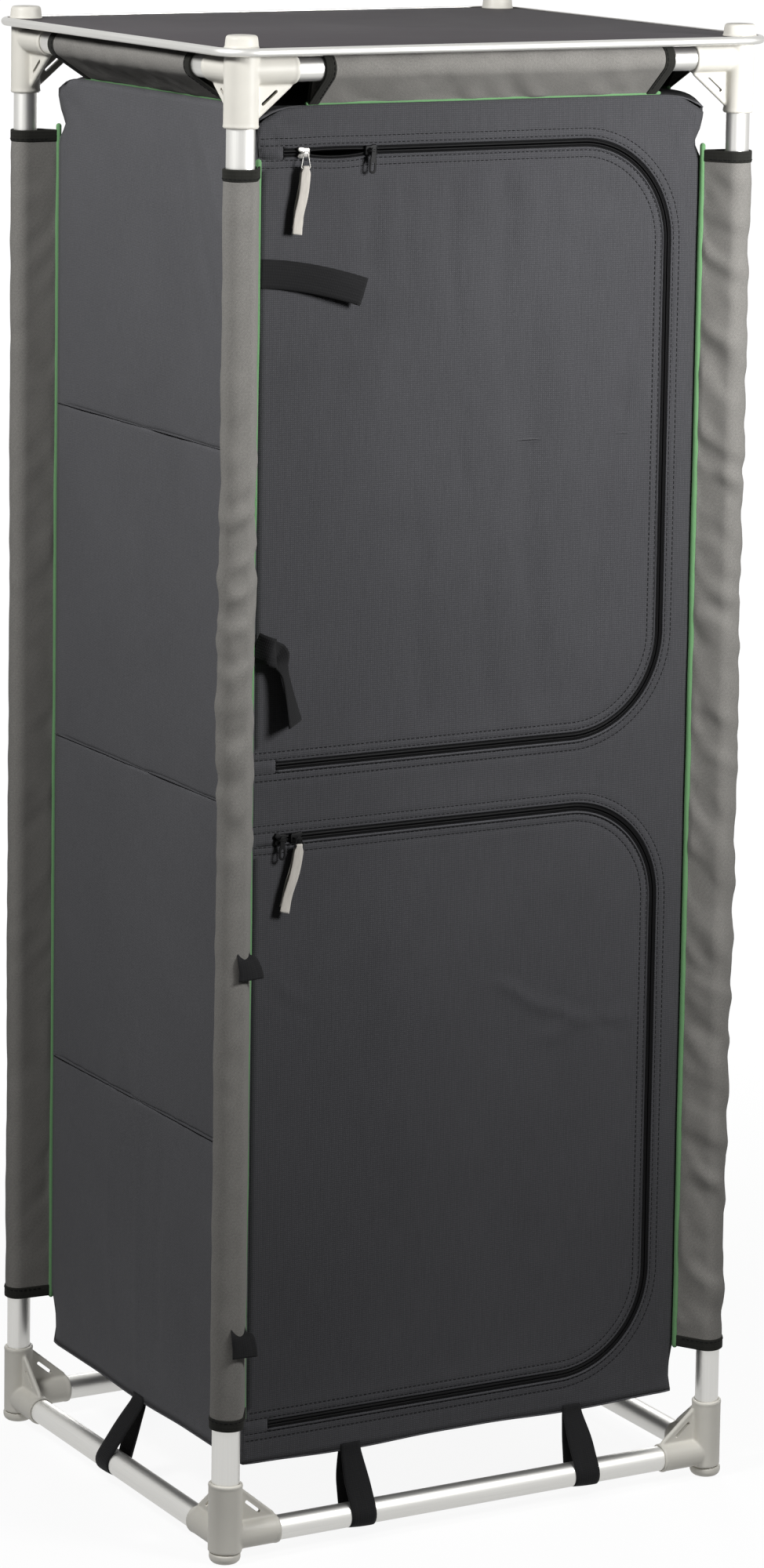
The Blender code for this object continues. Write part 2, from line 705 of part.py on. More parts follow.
def tunnel_loops(core_wide, core_narrow, angle, seam, bead):
    """Cloth drawn round a tube and down to its seam: outer outline with the piping bead, and the hollow."""
    grow = 2 * (SEAT_GAP + TUNNEL_FABRIC)
    outer = oval(core_wide + grow, core_narrow + grow, angle) + ring(bead, SMALL_SIDES, *seam)
    space = 2 * SEAT_GAP
    throat = Vector(seam) * (1 - (bead + TUNNEL_FABRIC) / Vector(seam).length)
    inner = oval(core_wide + space, core_narrow + space, angle) + [tuple(throat)]
    return [hull(outer), hull(inner)]


def make_post_tunnels(cloth):
    """Tunnels that run up the posts and meet the body along its upright corners."""
    stand_off = (POST_PIPING_RADIUS + SEAT_GAP) / math.sqrt(2)
    length = POST_TUNNEL_TOP - POST_TUNNEL_BOTTOM
    for corner, (ex, ey, quarter) in CORNERS.items():
        seam = (-ex * (BODY_INSET_X - stand_off), -ey * (BODY_INSET_Y - stand_off))
        loops = tunnel_loops(POST_WIDE, POST_NARROW, quarter - math.pi / 4, seam, POST_PIPING_RADIUS)
        x, y = post_axis(ex, ey)
        place(f"post_tunnel_{corner}", slab(loops, length), cloth, (x, y, POST_TUNNEL_BOTTOM))


def make_rail_tunnels(cloth):
    """Tunnels round the top rails, sewn to the body's upper edge."""
    seam_z = BODY_TOP + SEAT_GAP + RAIL_PIPING_RADIUS - TOP_RAIL_Z
    wide = POST_SPACING_X - 2 * (ARM_LENGTH + BARE_RAIL_X)
    deep = POST_SPACING_Y - 2 * (ARM_LENGTH + BARE_RAIL_Y)
    for side, length, half, inset, facing in (
        ("front", wide, HALF_Y, BODY_INSET_Y, 0),
        ("right", deep, HALF_X, BODY_INSET_X, 1),
        ("back", wide, HALF_Y, BODY_INSET_Y, 2),
        ("left", deep, HALF_X, BODY_INSET_X, 3),
    ):
        seam = (inset + RAIL_PIPING_RADIUS, seam_z)
        loops = tunnel_loops(RAIL_DIAMETER, RAIL_DIAMETER, 0.0, seam, RAIL_PIPING_RADIUS)
        carry = turn("Z", facing * math.pi / 2) @ shift(y=-half) @ section_along_x()
        mesh = moved(slab(loops, length, -length / 2), carry)
        place(f"rail_tunnel_{side}", mesh, cloth, (0, 0, TOP_RAIL_Z))


def loop_mesh(inset):
    """Webbing loop that hangs from the body's lower edge round a rail below and outside it."""
    drop = BODY_BOTTOM + LOOP_SEAM_INSET / 2 - BOTTOM_RAIL_Z
    grow = 2 * (SEAT_GAP + WEBBING_THICKNESS)
    seam = (inset + LOOP_SEAM_INSET, drop)
    outer = ring(RAIL_RADIUS + grow / 2) + ring(WEBBING_THICKNESS, SMALL_SIDES, *seam)
    throat = Vector(seam) * (1 - 3 * WEBBING_THICKNESS / Vector(seam).length)
    inner = ring(RAIL_RADIUS + SEAT_GAP) + [tuple(throat)]
    mesh = slab([hull(outer), hull(inner)], WEBBING_WIDTH, -WEBBING_WIDTH / 2)
    return moved(mesh, section_along_x())


def make_floor(cloth):
    """Floor of the body with its six webbing loops sewn under the edge."""
    outline = [(-WALL_X, -WALL_Y), (WALL_X, -WALL_Y), (WALL_X, WALL_Y), (-WALL_X, WALL_Y)]
    body = slab([outline], FLOOR_THICKNESS, BODY_BOTTOM - BOTTOM_RAIL_Z)
    spread = FRONT_LOOP_SPACING / 2
    for facing, half, inset, places in (
        (0, HALF_Y, BODY_INSET_Y, (-spread, spread)),
        (1, HALF_X, BODY_INSET_X, (SIDE_LOOP_OFFSET,)),
        (2, HALF_Y, BODY_INSET_Y, (-spread, spread)),
        (3, HALF_X, BODY_INSET_X, (-SIDE_LOOP_OFFSET,)),
    ):
        for along in places:
            carry = turn("Z", facing * math.pi / 2) @ shift(along, -half)
            body = joined(body, moved(loop_mesh(inset), carry))
    place("floor_panel", body, cloth, (0, 0, BOTTOM_RAIL_Z), smooth=False)


def door_outline(bottom, top, inset, left=0.0):
    """D shape from the hinge line, its right corners rounded, drawn inset from the zip's middle."""
    right = DOOR_RIGHT_X - DOOR_HINGE_X - inset
    radius = DOOR_CORNER_RADIUS - inset
    low = bottom + inset
    high = top - inset
    points = [(left, low)]
    points += arc(right - radius, low + radius, radius, -1, 0, DOOR_CORNER_STEPS)
    points += arc(right - radius, high - radius, radius, 0, 1, DOOR_CORNER_STEPS)
    points.append((left, high))
    return points


def coil_strip(bottom, top, near, far):
    """Raised zip coil that follows the D between two insets, from the zip's start."""
    start = ZIP_START_X - DOOR_HINGE_X
    outline = door_outline(bottom, top, near, start) + door_outline(bottom, top, far, start)[::-1]
    return slab([outline], COIL_HEIGHT + FABRIC / 2, -FABRIC / 2)


def door_mesh(bottom, top):
    """Door flap with its half of the zip, its outer face at Z = 0 and its hinge line on Y."""
    half = DOOR_CLEARANCE / 2
    flap = slab([door_outline(bottom, top, half, half)], FABRIC, -FABRIC)
    return joined(flap, coil_strip(bottom, top, half, half + COIL_WIDTH))


def make_front(cloth):
    """Front wall with both door openings and its half of each zip."""
    half = DOOR_CLEARANCE / 2
    left = -WALL_X - DOOR_HINGE_X
    right = WALL_X - DOOR_HINGE_X
    edge = [(left, WALL_BOTTOM), (right, WALL_BOTTOM), (right, WALL_TOP), (left, WALL_TOP)]
    upper = (UPPER_DOOR_BOTTOM, UPPER_DOOR_TOP)
    lower = (LOWER_DOOR_BOTTOM, LOWER_DOOR_TOP)
    openings = [door_outline(*span, -half, -half) for span in (upper, lower)]
    panel = slab([edge, *openings], FABRIC, -FABRIC)
    coils = [coil_strip(*span, -half - COIL_WIDTH, -half) for span in (upper, lower)]
    at_hinge = (DOOR_HINGE_X, -WALL_Y, 0)
    place("front_panel", joined(panel, *coils), cloth, at_hinge, FACING_FRONT, smooth=False)
    place("upper_door", door_mesh(*upper), cloth, at_hinge, FACING_FRONT, smooth=False)
    place("lower_door", door_mesh(*lower), cloth, at_hinge, FACING_FRONT, smooth=False)


def slider_mesh():
    """Zip slider over both coils: a waisted body with a channel beneath and a bridge on top."""
    half = SLIDER_LENGTH / 2
    mouth = SLIDER_MOUTH / 2
    tail = SLIDER_TAIL / 2
    outline = [
        (-half, -tail + SLIDER_CORNER),
        (-half + SLIDER_CORNER, -tail),
        (half - SLIDER_CORNER, -mouth),
        (half, -mouth + SLIDER_CORNER),
        (half, mouth - SLIDER_CORNER),
        (half - SLIDER_CORNER, mouth),
        (-half + SLIDER_CORNER, tail),
        (-half, tail - SLIDER_CORNER),
    ]
    body = slab([outline], SLIDER_HEIGHT, SLIDER_STANDOFF)
    x = half + CUT_OVERRUN
    y = DOOR_CLEARANCE / 2 + COIL_WIDTH + SEAT_GAP
    channel = [(-x, -y), (x, -y), (x, y), (-x, y)]
    depth = COIL_HEIGHT + SEAT_GAP - SLIDER_STANDOFF
    body = cut(body, slab([channel], depth + CUT_OVERRUN, SLIDER_STANDOFF - CUT_OVERRUN))
    return joined(body, moved(bridge_mesh(), shift(z=SLIDER_STANDOFF + SLIDER_HEIGHT)))


def bridge_mesh():
    """Staple along the slider that carries the pull, standing on Z = 0."""
    outer = BRIDGE_SPAN / 2
    inner = outer - BRIDGE_BAR
    step = BRIDGE_BAR
    sunk = -BRIDGE_BAR / 2
    high = BRIDGE_HEIGHT
    outline = [
        (-outer, sunk),
        (-inner, sunk),
        (-inner, high - step),
        (inner, high - step),
        (inner, sunk),
        (outer, sunk),
        (outer, high - step),
        (outer - step, high),
        (step - outer, high),
        (-outer, high - step),
    ]
    return moved(slab([outline], BRIDGE_WIDTH, -BRIDGE_WIDTH / 2), turn("X", math.pi / 2))


def bridge_centre():
    """Height of the bridge bar's middle over the cloth."""
    return SLIDER_STANDOFF + SLIDER_HEIGHT + BRIDGE_HEIGHT - BRIDGE_BAR / 2


def link_mesh(length):
    """Long wire link that hangs round the bridge bar, from its pivot at the origin down along -Y."""
    radius = LINK_INNER_RADIUS + LINK_WIRE / 2
    drop = length - radius - LINK_WIRE / 2
    path = arc(0, 0, radius, 0, 2, 5) + arc(0, -drop, radius, 2, 4, 5)
    return tube_along([Vector((0, up, out)) for out, up in path], LINK_WIRE / 2, 6, closed=True)


def ribbon_pull(length, drift):
    """Wire link with a doubled ribbon through its lower end, both hanging down."""
    path = []
    across = []
    for i in range(9):
        t = i / 8
        sway = drift * t * t
        path.append(Vector((-sway, LINK_BITE - LINK_LENGTH - length * t, -RIBBON_THICKNESS * t)))
        across.append(Vector((1, 0, 0)))
    strip = ribbon_along(path, across, [RIBBON_WIDTH] * len(path), RIBBON_THICKNESS)
    return joined(link_mesh(LINK_LENGTH), strip)


def metal_pull():
    """Flat pull below a short link."""
    neck = METAL_PULL_NECK / 2
    wide = METAL_PULL_WIDTH / 2
    start = LINK_BITE - SHORT_LINK_LENGTH
    end = start - METAL_PULL_LENGTH
    outline = [
        (-neck, start),
        (-wide, end + 2 * wide),
        *arc(0, end + wide, wide, 2, 4, 6),
        (wide, end + 2 * wide),
        (neck, start),
    ]
    plate = slab([outline], METAL_PULL_THICKNESS, -METAL_PULL_THICKNESS / 2)
    return joined(link_mesh(SHORT_LINK_LENGTH), plate)


def make_zip_pieces(silver, black, ribbon_look):
    """Sliders on the straight top run of each zip, and the pulls that hang from them."""
    mesh = slider_mesh()
    out = -WALL_Y - bridge_centre()
    silver_x = ZIP_START_X + UPPER_SILVER_SLIDER_RUN
    black_x = ZIP_START_X + UPPER_BLACK_SLIDER_RUN
    lead_x = ZIP_START_X + LOWER_LEAD_SLIDER_RUN
    end_x = ZIP_START_X + LOWER_END_SLIDER_RUN
    for name, x, z, look in (
        ("upper_slider_silver", silver_x, UPPER_DOOR_TOP, silver),
        ("upper_slider_black", black_x, UPPER_DOOR_TOP, black),
        ("lower_slider_lead", lead_x, LOWER_DOOR_TOP, black),
    ):
        place(name, mesh.copy(), look, (x, -WALL_Y, z), FACING_FRONT, smooth=False)
    with_pull = joined(mesh.copy(), moved(metal_pull_held(), shift(z=bridge_centre())))
    place("lower_slider_end", with_pull, black, (end_x, -WALL_Y, LOWER_DOOR_TOP), FACING_FRONT, smooth=False)
    ribbon = ribbon_pull(UPPER_RIBBON_LENGTH, RIBBON_DRIFT)
    place("upper_ribbon_pull", ribbon, ribbon_look, (silver_x, out, UPPER_DOOR_TOP), FACING_FRONT)
    place("upper_metal_pull", metal_pull(), black, (black_x, out, UPPER_DOOR_TOP), FACING_FRONT)
    ribbon = ribbon_pull(LOWER_RIBBON_LENGTH, RIBBON_DRIFT)
    place("lower_ribbon_pull", ribbon, ribbon_look, (lead_x, out, LOWER_DOOR_TOP), FACING_FRONT)


def metal_pull_held():
    """Flat pull clipped on its bridge, hanging from it as one piece."""
    wide = METAL_PULL_WIDTH / 2
    neck = METAL_PULL_NECK / 2
    end = -METAL_PULL_LENGTH
    outline = [
        (-neck, 0),
        (-wide, end + 2 * wide),
        *arc(0, end + wide, wide, 2, 4, 6),
        (wide, end + 2 * wide),
        (neck, 0),
    ]
    return slab([outline], METAL_PULL_THICKNESS, -METAL_PULL_THICKNESS / 2)


def make_top_tie(webbing):
    """Uppermost door tie, drawn across the door and drooping at its loose end."""
    path = []
    across = []
    steps = 10
    for i in range(steps + 1):
        t = i / steps
        out = TIE_STANDOFF + TOP_TIE_BOW * math.sin(math.pi / 2 * t) ** 2
        path.append(Vector((DOOR_CLEARANCE + TOP_TIE_REACH * t, -TOP_TIE_SAG * t * t, out)))
        across.append(Vector((TOP_TIE_SLANT_SHARE * t, 1, 0)))
    mesh = ribbon_along(path, across, [WEBBING_WIDTH] * len(path), WEBBING_THICKNESS)
    height = UPPER_DOOR_TOP - TOP_TIE_BELOW_ZIP
    place("upper_door_tie_top", mesh, webbing, (DOOR_HINGE_X, -WALL_Y, height), FACING_FRONT)


def make_second_tie(webbing):
    """Second door tie: it stands out from its root, folds over, and its tail hangs down turned edgeways."""
    steps = 5
    path = []
    for i in range(steps + 1):
        t = i / steps
        side = 2 * DOOR_CLEARANCE + SECOND_TIE_REACH * t
        path.append(Vector((side, -SECOND_TIE_DIP * t * t, TIE_STANDOFF + SECOND_TIE_RISE * t * t)))
    leg = ribbon_along(path, [Vector((0, 1, 0))] * len(path), [WEBBING_WIDTH] * len(path), WEBBING_THICKNESS)
    start = path[-1] + Vector((-WEBBING_THICKNESS, WEBBING_WIDTH / 4, -WEBBING_THICKNESS))
    tail = []
    widths = []
    for i in range(steps + 1):
        t = i / steps
        tail.append(start + Vector((SECOND_TIE_SLANT * t, -SECOND_TIE_DROP * t, 0)))
        widths.append(WEBBING_WIDTH * (SECOND_TIE_FOLD_SHARE + (1 - SECOND_TIE_FOLD_SHARE) * min(1, 2 * t)))
    edgeways = [Vector((1, 0, -SECOND_TIE_TURN_SHARE))] * len(tail)
    mesh = joined(leg, ribbon_along(tail, edgeways, widths, WEBBING_THICKNESS))
    height = UPPER_DOOR_BOTTOM + SECOND_TIE_OVER_ZIP
    place("upper_door_tie_bottom", mesh, webbing, (DOOR_HINGE_X, -WALL_Y, height), FACING_FRONT)


def make_stub_ties(webbing):
    """Two lower ties sewn left of the doors: each comes out round the tunnel and its end hangs in front."""
    path = []
    across = []
    for side, drop, out, turned_share in STUB_TIE_SHARES:
        point = Vector((-STUB_TIE_SIDE * side, -STUB_TIE_DROP * drop, TIE_STANDOFF + STUB_TIE_REACH * out))
        path.append(point)
        facing = Vector((1, 0, STUB_TIE_FACING_SHARE)).normalized()
        across.append(Vector((0, 1, 0)).lerp(facing, turned_share))
    mesh = ribbon_along(path, across, [WEBBING_WIDTH] * len(path), WEBBING_THICKNESS)
    x = STUB_TIE_INSET - WALL_X
    high = LOWER_DOOR_TOP - TOP_STUB_BELOW_ZIP
    low = LOWER_DOOR_BOTTOM + BOTTOM_STUB_OVER_ZIP
    for name, height in (("top", high), ("bottom", low)):
        place(f"lower_door_tie_{name}", mesh.copy(), webbing, (x, -WALL_Y, height), FACING_FRONT)


def main():
    for obj in list(bpy.data.objects):
        bpy.data.objects.remove(obj)
    metal = material("anodised_aluminium", (0.78, 0.79, 0.77), 0.28, 0.9)
    plastic = material("warm_grey_plastic", (0.64, 0.62, 0.56), 0.5)
    board_look = material("dark_laminate", (0.135, 0.13, 0.133), 0.55)
    cloth = material("charcoal_polyester", (0.062, 0.062, 0.066), 0.85)
    tunnel_cloth = material("mid_grey_polyester", (0.17, 0.165, 0.155), 0.85)
    shelf_look = material("shelf_board", (0.045, 0.045, 0.048), 0.8)
    webbing = material("black_webbing", (0.012, 0.012, 0.012), 0.8)
    silver = material("nickel_zip", (0.6, 0.6, 0.58), 0.3, 1.0)
    black = material("black_zip", (0.01, 0.01, 0.01), 0.4, 0.6)
    ribbon_look = material("pale_ribbon", (0.62, 0.60, 0.57), 0.6)
    make_connectors(plastic)
    make_posts(metal)
    make_rails(metal)
    make_feet(plastic)
    make_table_top(board_look, metal, plastic)
    make_walls(cloth)
    make_front(cloth)
    make_roof(cloth)
    make_floor(cloth)
    make_shelves(shelf_look)
    make_post_tunnels(tunnel_cloth)
    make_rail_tunnels(tunnel_cloth)
    make_zip_pieces(silver, black, ribbon_look)
    make_top_tie(webbing)
    make_second_tie(webbing)
    make_stub_ties(webbing)


main()
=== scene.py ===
"""Dressed model of a fabric camp kitchen cupboard, laid out as an add-on and run as a script.

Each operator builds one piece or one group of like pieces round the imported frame, and main() calls them in order.
Metres, +Z up, the front faces -Y. Upright places are z, and "out" is the distance that cloth stands off its plane.
"""

import math

import bmesh
import bpy
import numpy as np
from bpy.props import FloatProperty, FloatVectorProperty, PointerProperty
from mathutils import Matrix, Vector, geometry, kdtree


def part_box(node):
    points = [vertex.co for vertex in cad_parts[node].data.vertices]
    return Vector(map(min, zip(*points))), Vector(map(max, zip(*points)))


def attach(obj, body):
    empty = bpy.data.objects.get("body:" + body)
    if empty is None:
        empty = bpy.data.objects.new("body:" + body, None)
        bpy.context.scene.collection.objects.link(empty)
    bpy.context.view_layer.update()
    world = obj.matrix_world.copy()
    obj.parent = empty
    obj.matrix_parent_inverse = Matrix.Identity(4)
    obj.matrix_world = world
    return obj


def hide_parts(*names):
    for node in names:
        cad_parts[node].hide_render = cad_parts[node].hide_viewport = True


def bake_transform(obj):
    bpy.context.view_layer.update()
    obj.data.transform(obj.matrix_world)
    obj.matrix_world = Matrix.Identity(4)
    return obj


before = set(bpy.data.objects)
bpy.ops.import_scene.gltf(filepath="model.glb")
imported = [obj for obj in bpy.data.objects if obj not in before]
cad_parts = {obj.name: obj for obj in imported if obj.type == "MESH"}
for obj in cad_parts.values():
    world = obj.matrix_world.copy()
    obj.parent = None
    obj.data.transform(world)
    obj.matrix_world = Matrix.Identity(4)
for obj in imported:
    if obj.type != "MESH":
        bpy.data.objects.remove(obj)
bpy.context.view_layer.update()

bl_info = {
    "name": "Camp kitchen cupboard",
    "version": (1, 0, 0),
    "blender": (4, 5, 0),
    "location": "View3D > Sidebar > Cupboard",
    "description": "Builds a fabric camp kitchen cupboard on its aluminium frame",
    "category": "Add Mesh",
}

MM = 0.001


def centre(node):
    """Middle of a node's box in the frame."""
    return tuple((low + high) / 2 for low, high in zip(*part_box(node)))


# Places read from the frame
ROOF_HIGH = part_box("roof_panel")[1]
TUNNEL_LOW, TUNNEL_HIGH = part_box("post_tunnel_front_left")
BOARD_LOW, BOARD_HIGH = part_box("table_board")
RAIL_LOW, RAIL_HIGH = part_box("top_rail_front")
HALF_X, HALF_Y = (-place for place in centre("post_front_left")[:2])
RAIL_RADIUS = (RAIL_HIGH.z - RAIL_LOW.z) / 2
TOP_RAIL_Z = centre("top_rail_front")[2]
LOW_RAIL_Z = centre("bottom_rail_front")[2]
WALL_X = ROOF_HIGH.x - 0.0035  # the cloth is drawn in a little from its solid
WALL_Y = ROOF_HIGH.y
BODY_TOP = ROOF_HIGH.z
WALL_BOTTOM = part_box("left_panel")[0].z
SHELVES = tuple(centre(f"shelf_{name}")[2] for name in ("lower", "middle", "upper"))
FRAME_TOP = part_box("top_connector_front_left")[1].z
FRAME_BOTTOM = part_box("bottom_connector_front_left")[0].z
DOOR_CORNER = 0.090  # radius of a zip's round corners
HALF_SLIT = 0.00025  # half the gap that the solids leave round a door
SEWN_LOWER = {"upper": 0.0045, "lower": -0.0070}  # from its solid's edge up to the lower run of each zip
DOORS = {}
for door in ("upper", "lower"):
    low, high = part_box(f"{door}_door")
    DOORS[door] = (low.x - HALF_SLIT, high.x + HALF_SLIT, low.z - HALF_SLIT + SEWN_LOWER[door], high.z + HALF_SLIT)
HINGE_X = DOORS["upper"][0]
ZIP_START = HINGE_X + 0.0135  # where both runs of a zip start
CLOTH_HINGE = HINGE_X - 0.0075  # where a door's cloth leaves the wall
SEAM_START = 0.003 - WALL_X  # where the zips' hems start on the wall, beside the left seam
# For each post the signs of x and y, and its quarter turns from the front left
CORNERS = {"front_left": (-1, -1, 0), "front_right": (1, -1, 1), "back_right": (1, 1, 2), "back_left": (-1, 1, 3)}
FRONT_LOOPS = (-0.117, 0.117)
SIDE_LOOP = 0.010
# For each side the quarter turns from the front, distance of the rails, plane of the wall and places of its loops
SIDES = {
    "front": (0, HALF_Y, WALL_Y, FRONT_LOOPS),
    "right": (1, HALF_X, WALL_X, (SIDE_LOOP,)),
    "back": (2, HALF_Y, WALL_Y, FRONT_LOOPS),
    "left": (3, HALF_X, WALL_X, (-SIDE_LOOP,)),
}


def linear(hexadecimal):
    """Linear colour with full alpha from an sRGB hex value."""
    parts = [int(hexadecimal[i : i + 2], 16) / 255 for i in (0, 2, 4)]
    return (*[c / 12.92 if c <= 0.04045 else ((c + 0.055) / 1.055) ** 2.4 for c in parts], 1.0)


def size(label, value, words):
    return FloatProperty(name=label, description=words, default=value, unit="LENGTH", min=0.0, precision=4)


def colour(label, hexadecimal, words):
    settings = {"size": 4, "subtype": "COLOR", "min": 0.0, "max": 1.0}
    return FloatVectorProperty(name=label, description=words, default=linear(hexadecimal), **settings)


class CupboardSizes(bpy.types.PropertyGroup):
    """Sizes of the sewn and moulded detail."""

    cloth: size("Cloth", 0.0009, "Thickness of the body cloth")
    hem: size("Hem tape", 0.0100, "Width of the dark tape at a tunnel's ends")
    stitch: size("Stitch", 0.0032, "Length of one stitch")
    stitch_pitch: size("Stitch pitch", 0.0046, "Distance from one stitch to the next")
    thread: size("Thread", 0.00042, "Radius of the sewing thread, drawn bold enough to see")
    post_piping: size("Post piping", 0.0025, "Radius of the piping beside the posts")
    rail_piping: size("Rail piping", 0.0018, "Radius of the piping under the top rails")
    webbing: size("Webbing", 0.0250, "Width of the loops and ties")
    webbing_thickness: size("Webbing thickness", 0.0012, "Thickness of the loops and ties")
    zip_edge: size("Zip edge", 0.0049, "From the middle of a zip to the folded edge of the cloth")
    crumple: size("Tunnel creases", 0.0030, "How far the creases of the tunnels stand out")
    wall_folds: size("Wall folds", 0.0022, "How far the folds of the walls stand out")


class CupboardColours(bpy.types.PropertyGroup):
    """Colours of the cloth, metal and plastic."""

    aluminium: colour("Aluminium", "E8E7E3", "Clear anodised tube and rim")
    plastic: colour("Fittings", "DAD7CE", "Moulded corner fittings, feet and plugs")
    board: colour("Board", "4B474A", "Laminated table board")
    side_cloth: colour("Side cloth", "606063", "Plain woven walls, roof and floor")
    front_cloth: colour("Front cloth", "515154", "Grid woven front and doors")
    tunnel_cloth: colour("Tunnel cloth", "868480", "Melange cloth of the tunnels")
    piping: colour("Piping", "6F9C6D", "Green bias tape over cord")
    tape: colour("Hem tape", "2E2E2B", "Grosgrain at the tunnels' ends")
    webbing: colour("Webbing", "272728", "Polypropylene loops and ties")
    zip_tape: colour("Zip tape", "171718", "Knitted tape of the zips")
    coil: colour("Zip coil", "0D0D0E", "Nylon coil of the zips")
    # The thread is drawn darker than the cloth: partly its own colour, partly painted shade along the stitch lines
    thread: colour("Thread", "1E1E1F", "Sewing thread")
    nickel: colour("Nickel", "A3A19D", "Plated slider and wire links")
    enamel: colour("Black enamel", "0C0C0D", "Enamelled sliders and pulls")
    ribbon: colour("Ribbon", "C9C4BC", "Satin ribbon of the zip pulls")
    steel: colour("Steel", "6B6A68", "Threaded studs of the feet")


def sizes():
    return bpy.context.scene.cupboard_sizes


def colours():
    return bpy.context.scene.cupboard_colours


# Materials


def add(tree, kind, inputs=None, **settings):
    """Adds one node with its settings, and gives its inputs values or links."""
    made = tree.nodes.new("ShaderNode" + kind)
    for name, value in settings.items():
        setattr(made, name, value)
    for socket, value in (inputs or {}).items():
        if isinstance(value, bpy.types.Node):
            value = value.outputs[0]
        if isinstance(value, bpy.types.NodeSocket):
            tree.links.new(value, made.inputs[socket])
        else:
            made.inputs[socket].default_value = value
    return made


def surface(name, base, **sockets):
    """Principled material with its even values set on the shader's own sockets."""
    made = bpy.data.materials.new(name)
    made.use_nodes = True
    shader = made.node_tree.nodes["Principled BSDF"]
    shader.inputs["Base Color"].default_value = base
    for socket, value in sockets.items():
        shader.inputs[socket.replace("_", " ")].default_value = value
    return made, made.node_tree, shader


def look(make):
    """The material that a function makes, made once."""
    return bpy.data.materials.get(make.__name__) or make(make.__name__)


def tinted(base, share):
    """A colour made darker or lighter by a share."""
    return (*[min(1.0, c * share) for c in base[:3]], 1.0)


def maths(tree, operation, *values):
    """One Math node, its inputs in order."""
    return add(tree, "Math", dict(enumerate(values)), operation=operation)


def stretched(tree, vector, scale):
    """A texture's places, stretched by a scale on each axis."""
    return add(tree, "VectorMath", {0: vector, 1: scale}, operation="MULTIPLY")


def noise(tree, vector, scale, detail, **sockets):
    """One Noise texture, with any other inputs by name."""
    return add(tree, "TexNoise", {"Vector": vector, "Scale": scale, "Detail": detail, **sockets})


def between(tree, share, base, dark, light):
    """A tone that runs from a darker to a lighter share of one colour."""
    return add(tree, "Mix", {0: share, 6: tinted(base, dark), 7: tinted(base, light)}, data_type="RGBA")


def ranged(tree, value, low, high):
    """A value from 0 to 1 carried over to a range."""
    return add(tree, "MapRange", {0: value, 3: low, 4: high})


def finished(made, tone, height, strength, distance, rough=None):
    """The material with its tone, its relief and, where given, its uneven roughness linked to the shader."""
    tree = made.node_tree
    bump = add(tree, "Bump", {"Height": height, "Strength": strength, "Distance": distance})
    shader = tree.nodes["Principled BSDF"]
    tree.links.new(tone.outputs[2], shader.inputs["Base Color"])
    if rough:
        tree.links.new(rough.outputs[0], shader.inputs["Roughness"])
    tree.links.new(bump.outputs[0], shader.inputs["Normal"])
    return made


def looking(tree):
    """How white the surroundings are: fully for the camera, softer by way of metal or glass, none for other rays."""
    seen = add(tree, "LightPath")
    indirect = maths(tree, "MAXIMUM", seen.outputs["Is Glossy Ray"], seen.outputs["Is Transmission Ray"])
    softer = maths(tree, "MULTIPLY", indirect, 0.72)
    return maths(tree, "MAXIMUM", seen.outputs["Is Camera Ray"], softer)


def band(millimetres):
    """Scale of a Wave texture whose bands repeat at this distance."""
    return math.pi / 10 / (millimetres * MM)


def woven(name, base, across, along, contrast, drift, roughness, depth, skew=0.0, sheen=0.04, speckle=0.0):
    """Cloth: warp and weft at spacings in millimetres, drift from yarn to yarn, mixed fibres and a slight nap."""
    cloth = {"Roughness": roughness, "Specular_IOR_Level": 0.02, "Sheen_Weight": sheen, "Sheen_Roughness": 0.6}
    made, tree, _ = surface(name, base, **cloth)
    flat = add(tree, "UVMap", uv_map="Cloth")
    turned = add(tree, "Mapping", {"Vector": flat, "Rotation": (0, 0, skew)})
    warp = add(tree, "TexWave", {"Vector": turned, "Scale": band(across)}, bands_direction="X")
    weft = add(tree, "TexWave", {"Vector": turned, "Scale": band(along)}, bands_direction="Y")
    threads = maths(tree, "MULTIPLY", warp.outputs[1], weft.outputs[1])
    yarn = stretched(tree, turned, (1 / (across * MM), 1 / (12 * across * MM), 0))
    slub = noise(tree, yarn, 0.8, 2.0)
    cloud = noise(tree, flat, 7.0, 4.0, Roughness=0.6)
    mixed = maths(tree, "ADD", slub, cloud)
    fibres = noise(tree, flat, 650.0, 2.0, Roughness=0.7)
    spread = maths(tree, "MULTIPLY_ADD", mixed, drift, 0.5 - drift - speckle / 2)
    spread = maths(tree, "MULTIPLY_ADD", fibres, speckle, spread)
    tone = between(tree, spread, base, 0.62, 1.38)
    gap = maths(tree, "MULTIPLY_ADD", threads, contrast, 1 - 0.55 * contrast)
    dark = add(tree, "Mix", {0: gap, 6: tinted(base, 0.25), 7: tone.outputs[2]}, data_type="RGBA")
    return finished(made, dark, threads, depth, 0.0004)


def grid_polyester(name):
    """Front and doors: coated polyester with a raised square grid, whose cells of 1.6 mm are drawn 1.8 mm to show."""
    return woven(name, colours().front_cloth, 1.8, 1.8, 0.78, 0.36, 0.8, 0.5, speckle=0.8)


def plain_weave(name, base):
    """Plain weave of the body, in a given colour."""
    return woven(name, base, 1.1, 1.3, 0.42, 0.34, 0.82, 0.3, speckle=0.9)


def plain_polyester(name):
    """Back, sides, roof and floor: matt plain weave polyester, whose threads of 0.5 mm are drawn 1.1 mm to show."""
    return plain_weave(name, colours().side_cloth)


def shelf_cloth(name):
    """Shelves: stiff boards sleeved in the body's plain polyester, a little darker."""
    return plain_weave(name, tinted(colours().side_cloth, 0.75))


def melange_polyester(name):
    """Tunnels: polyester of mixed grey yarns, a warm speckle, whose threads of 0.6 mm are drawn 1.2 mm to show."""
    return woven(name, colours().tunnel_cloth, 1.2, 1.2, 0.34, 0.28, 0.86, 0.3, 0.6, speckle=1.1)


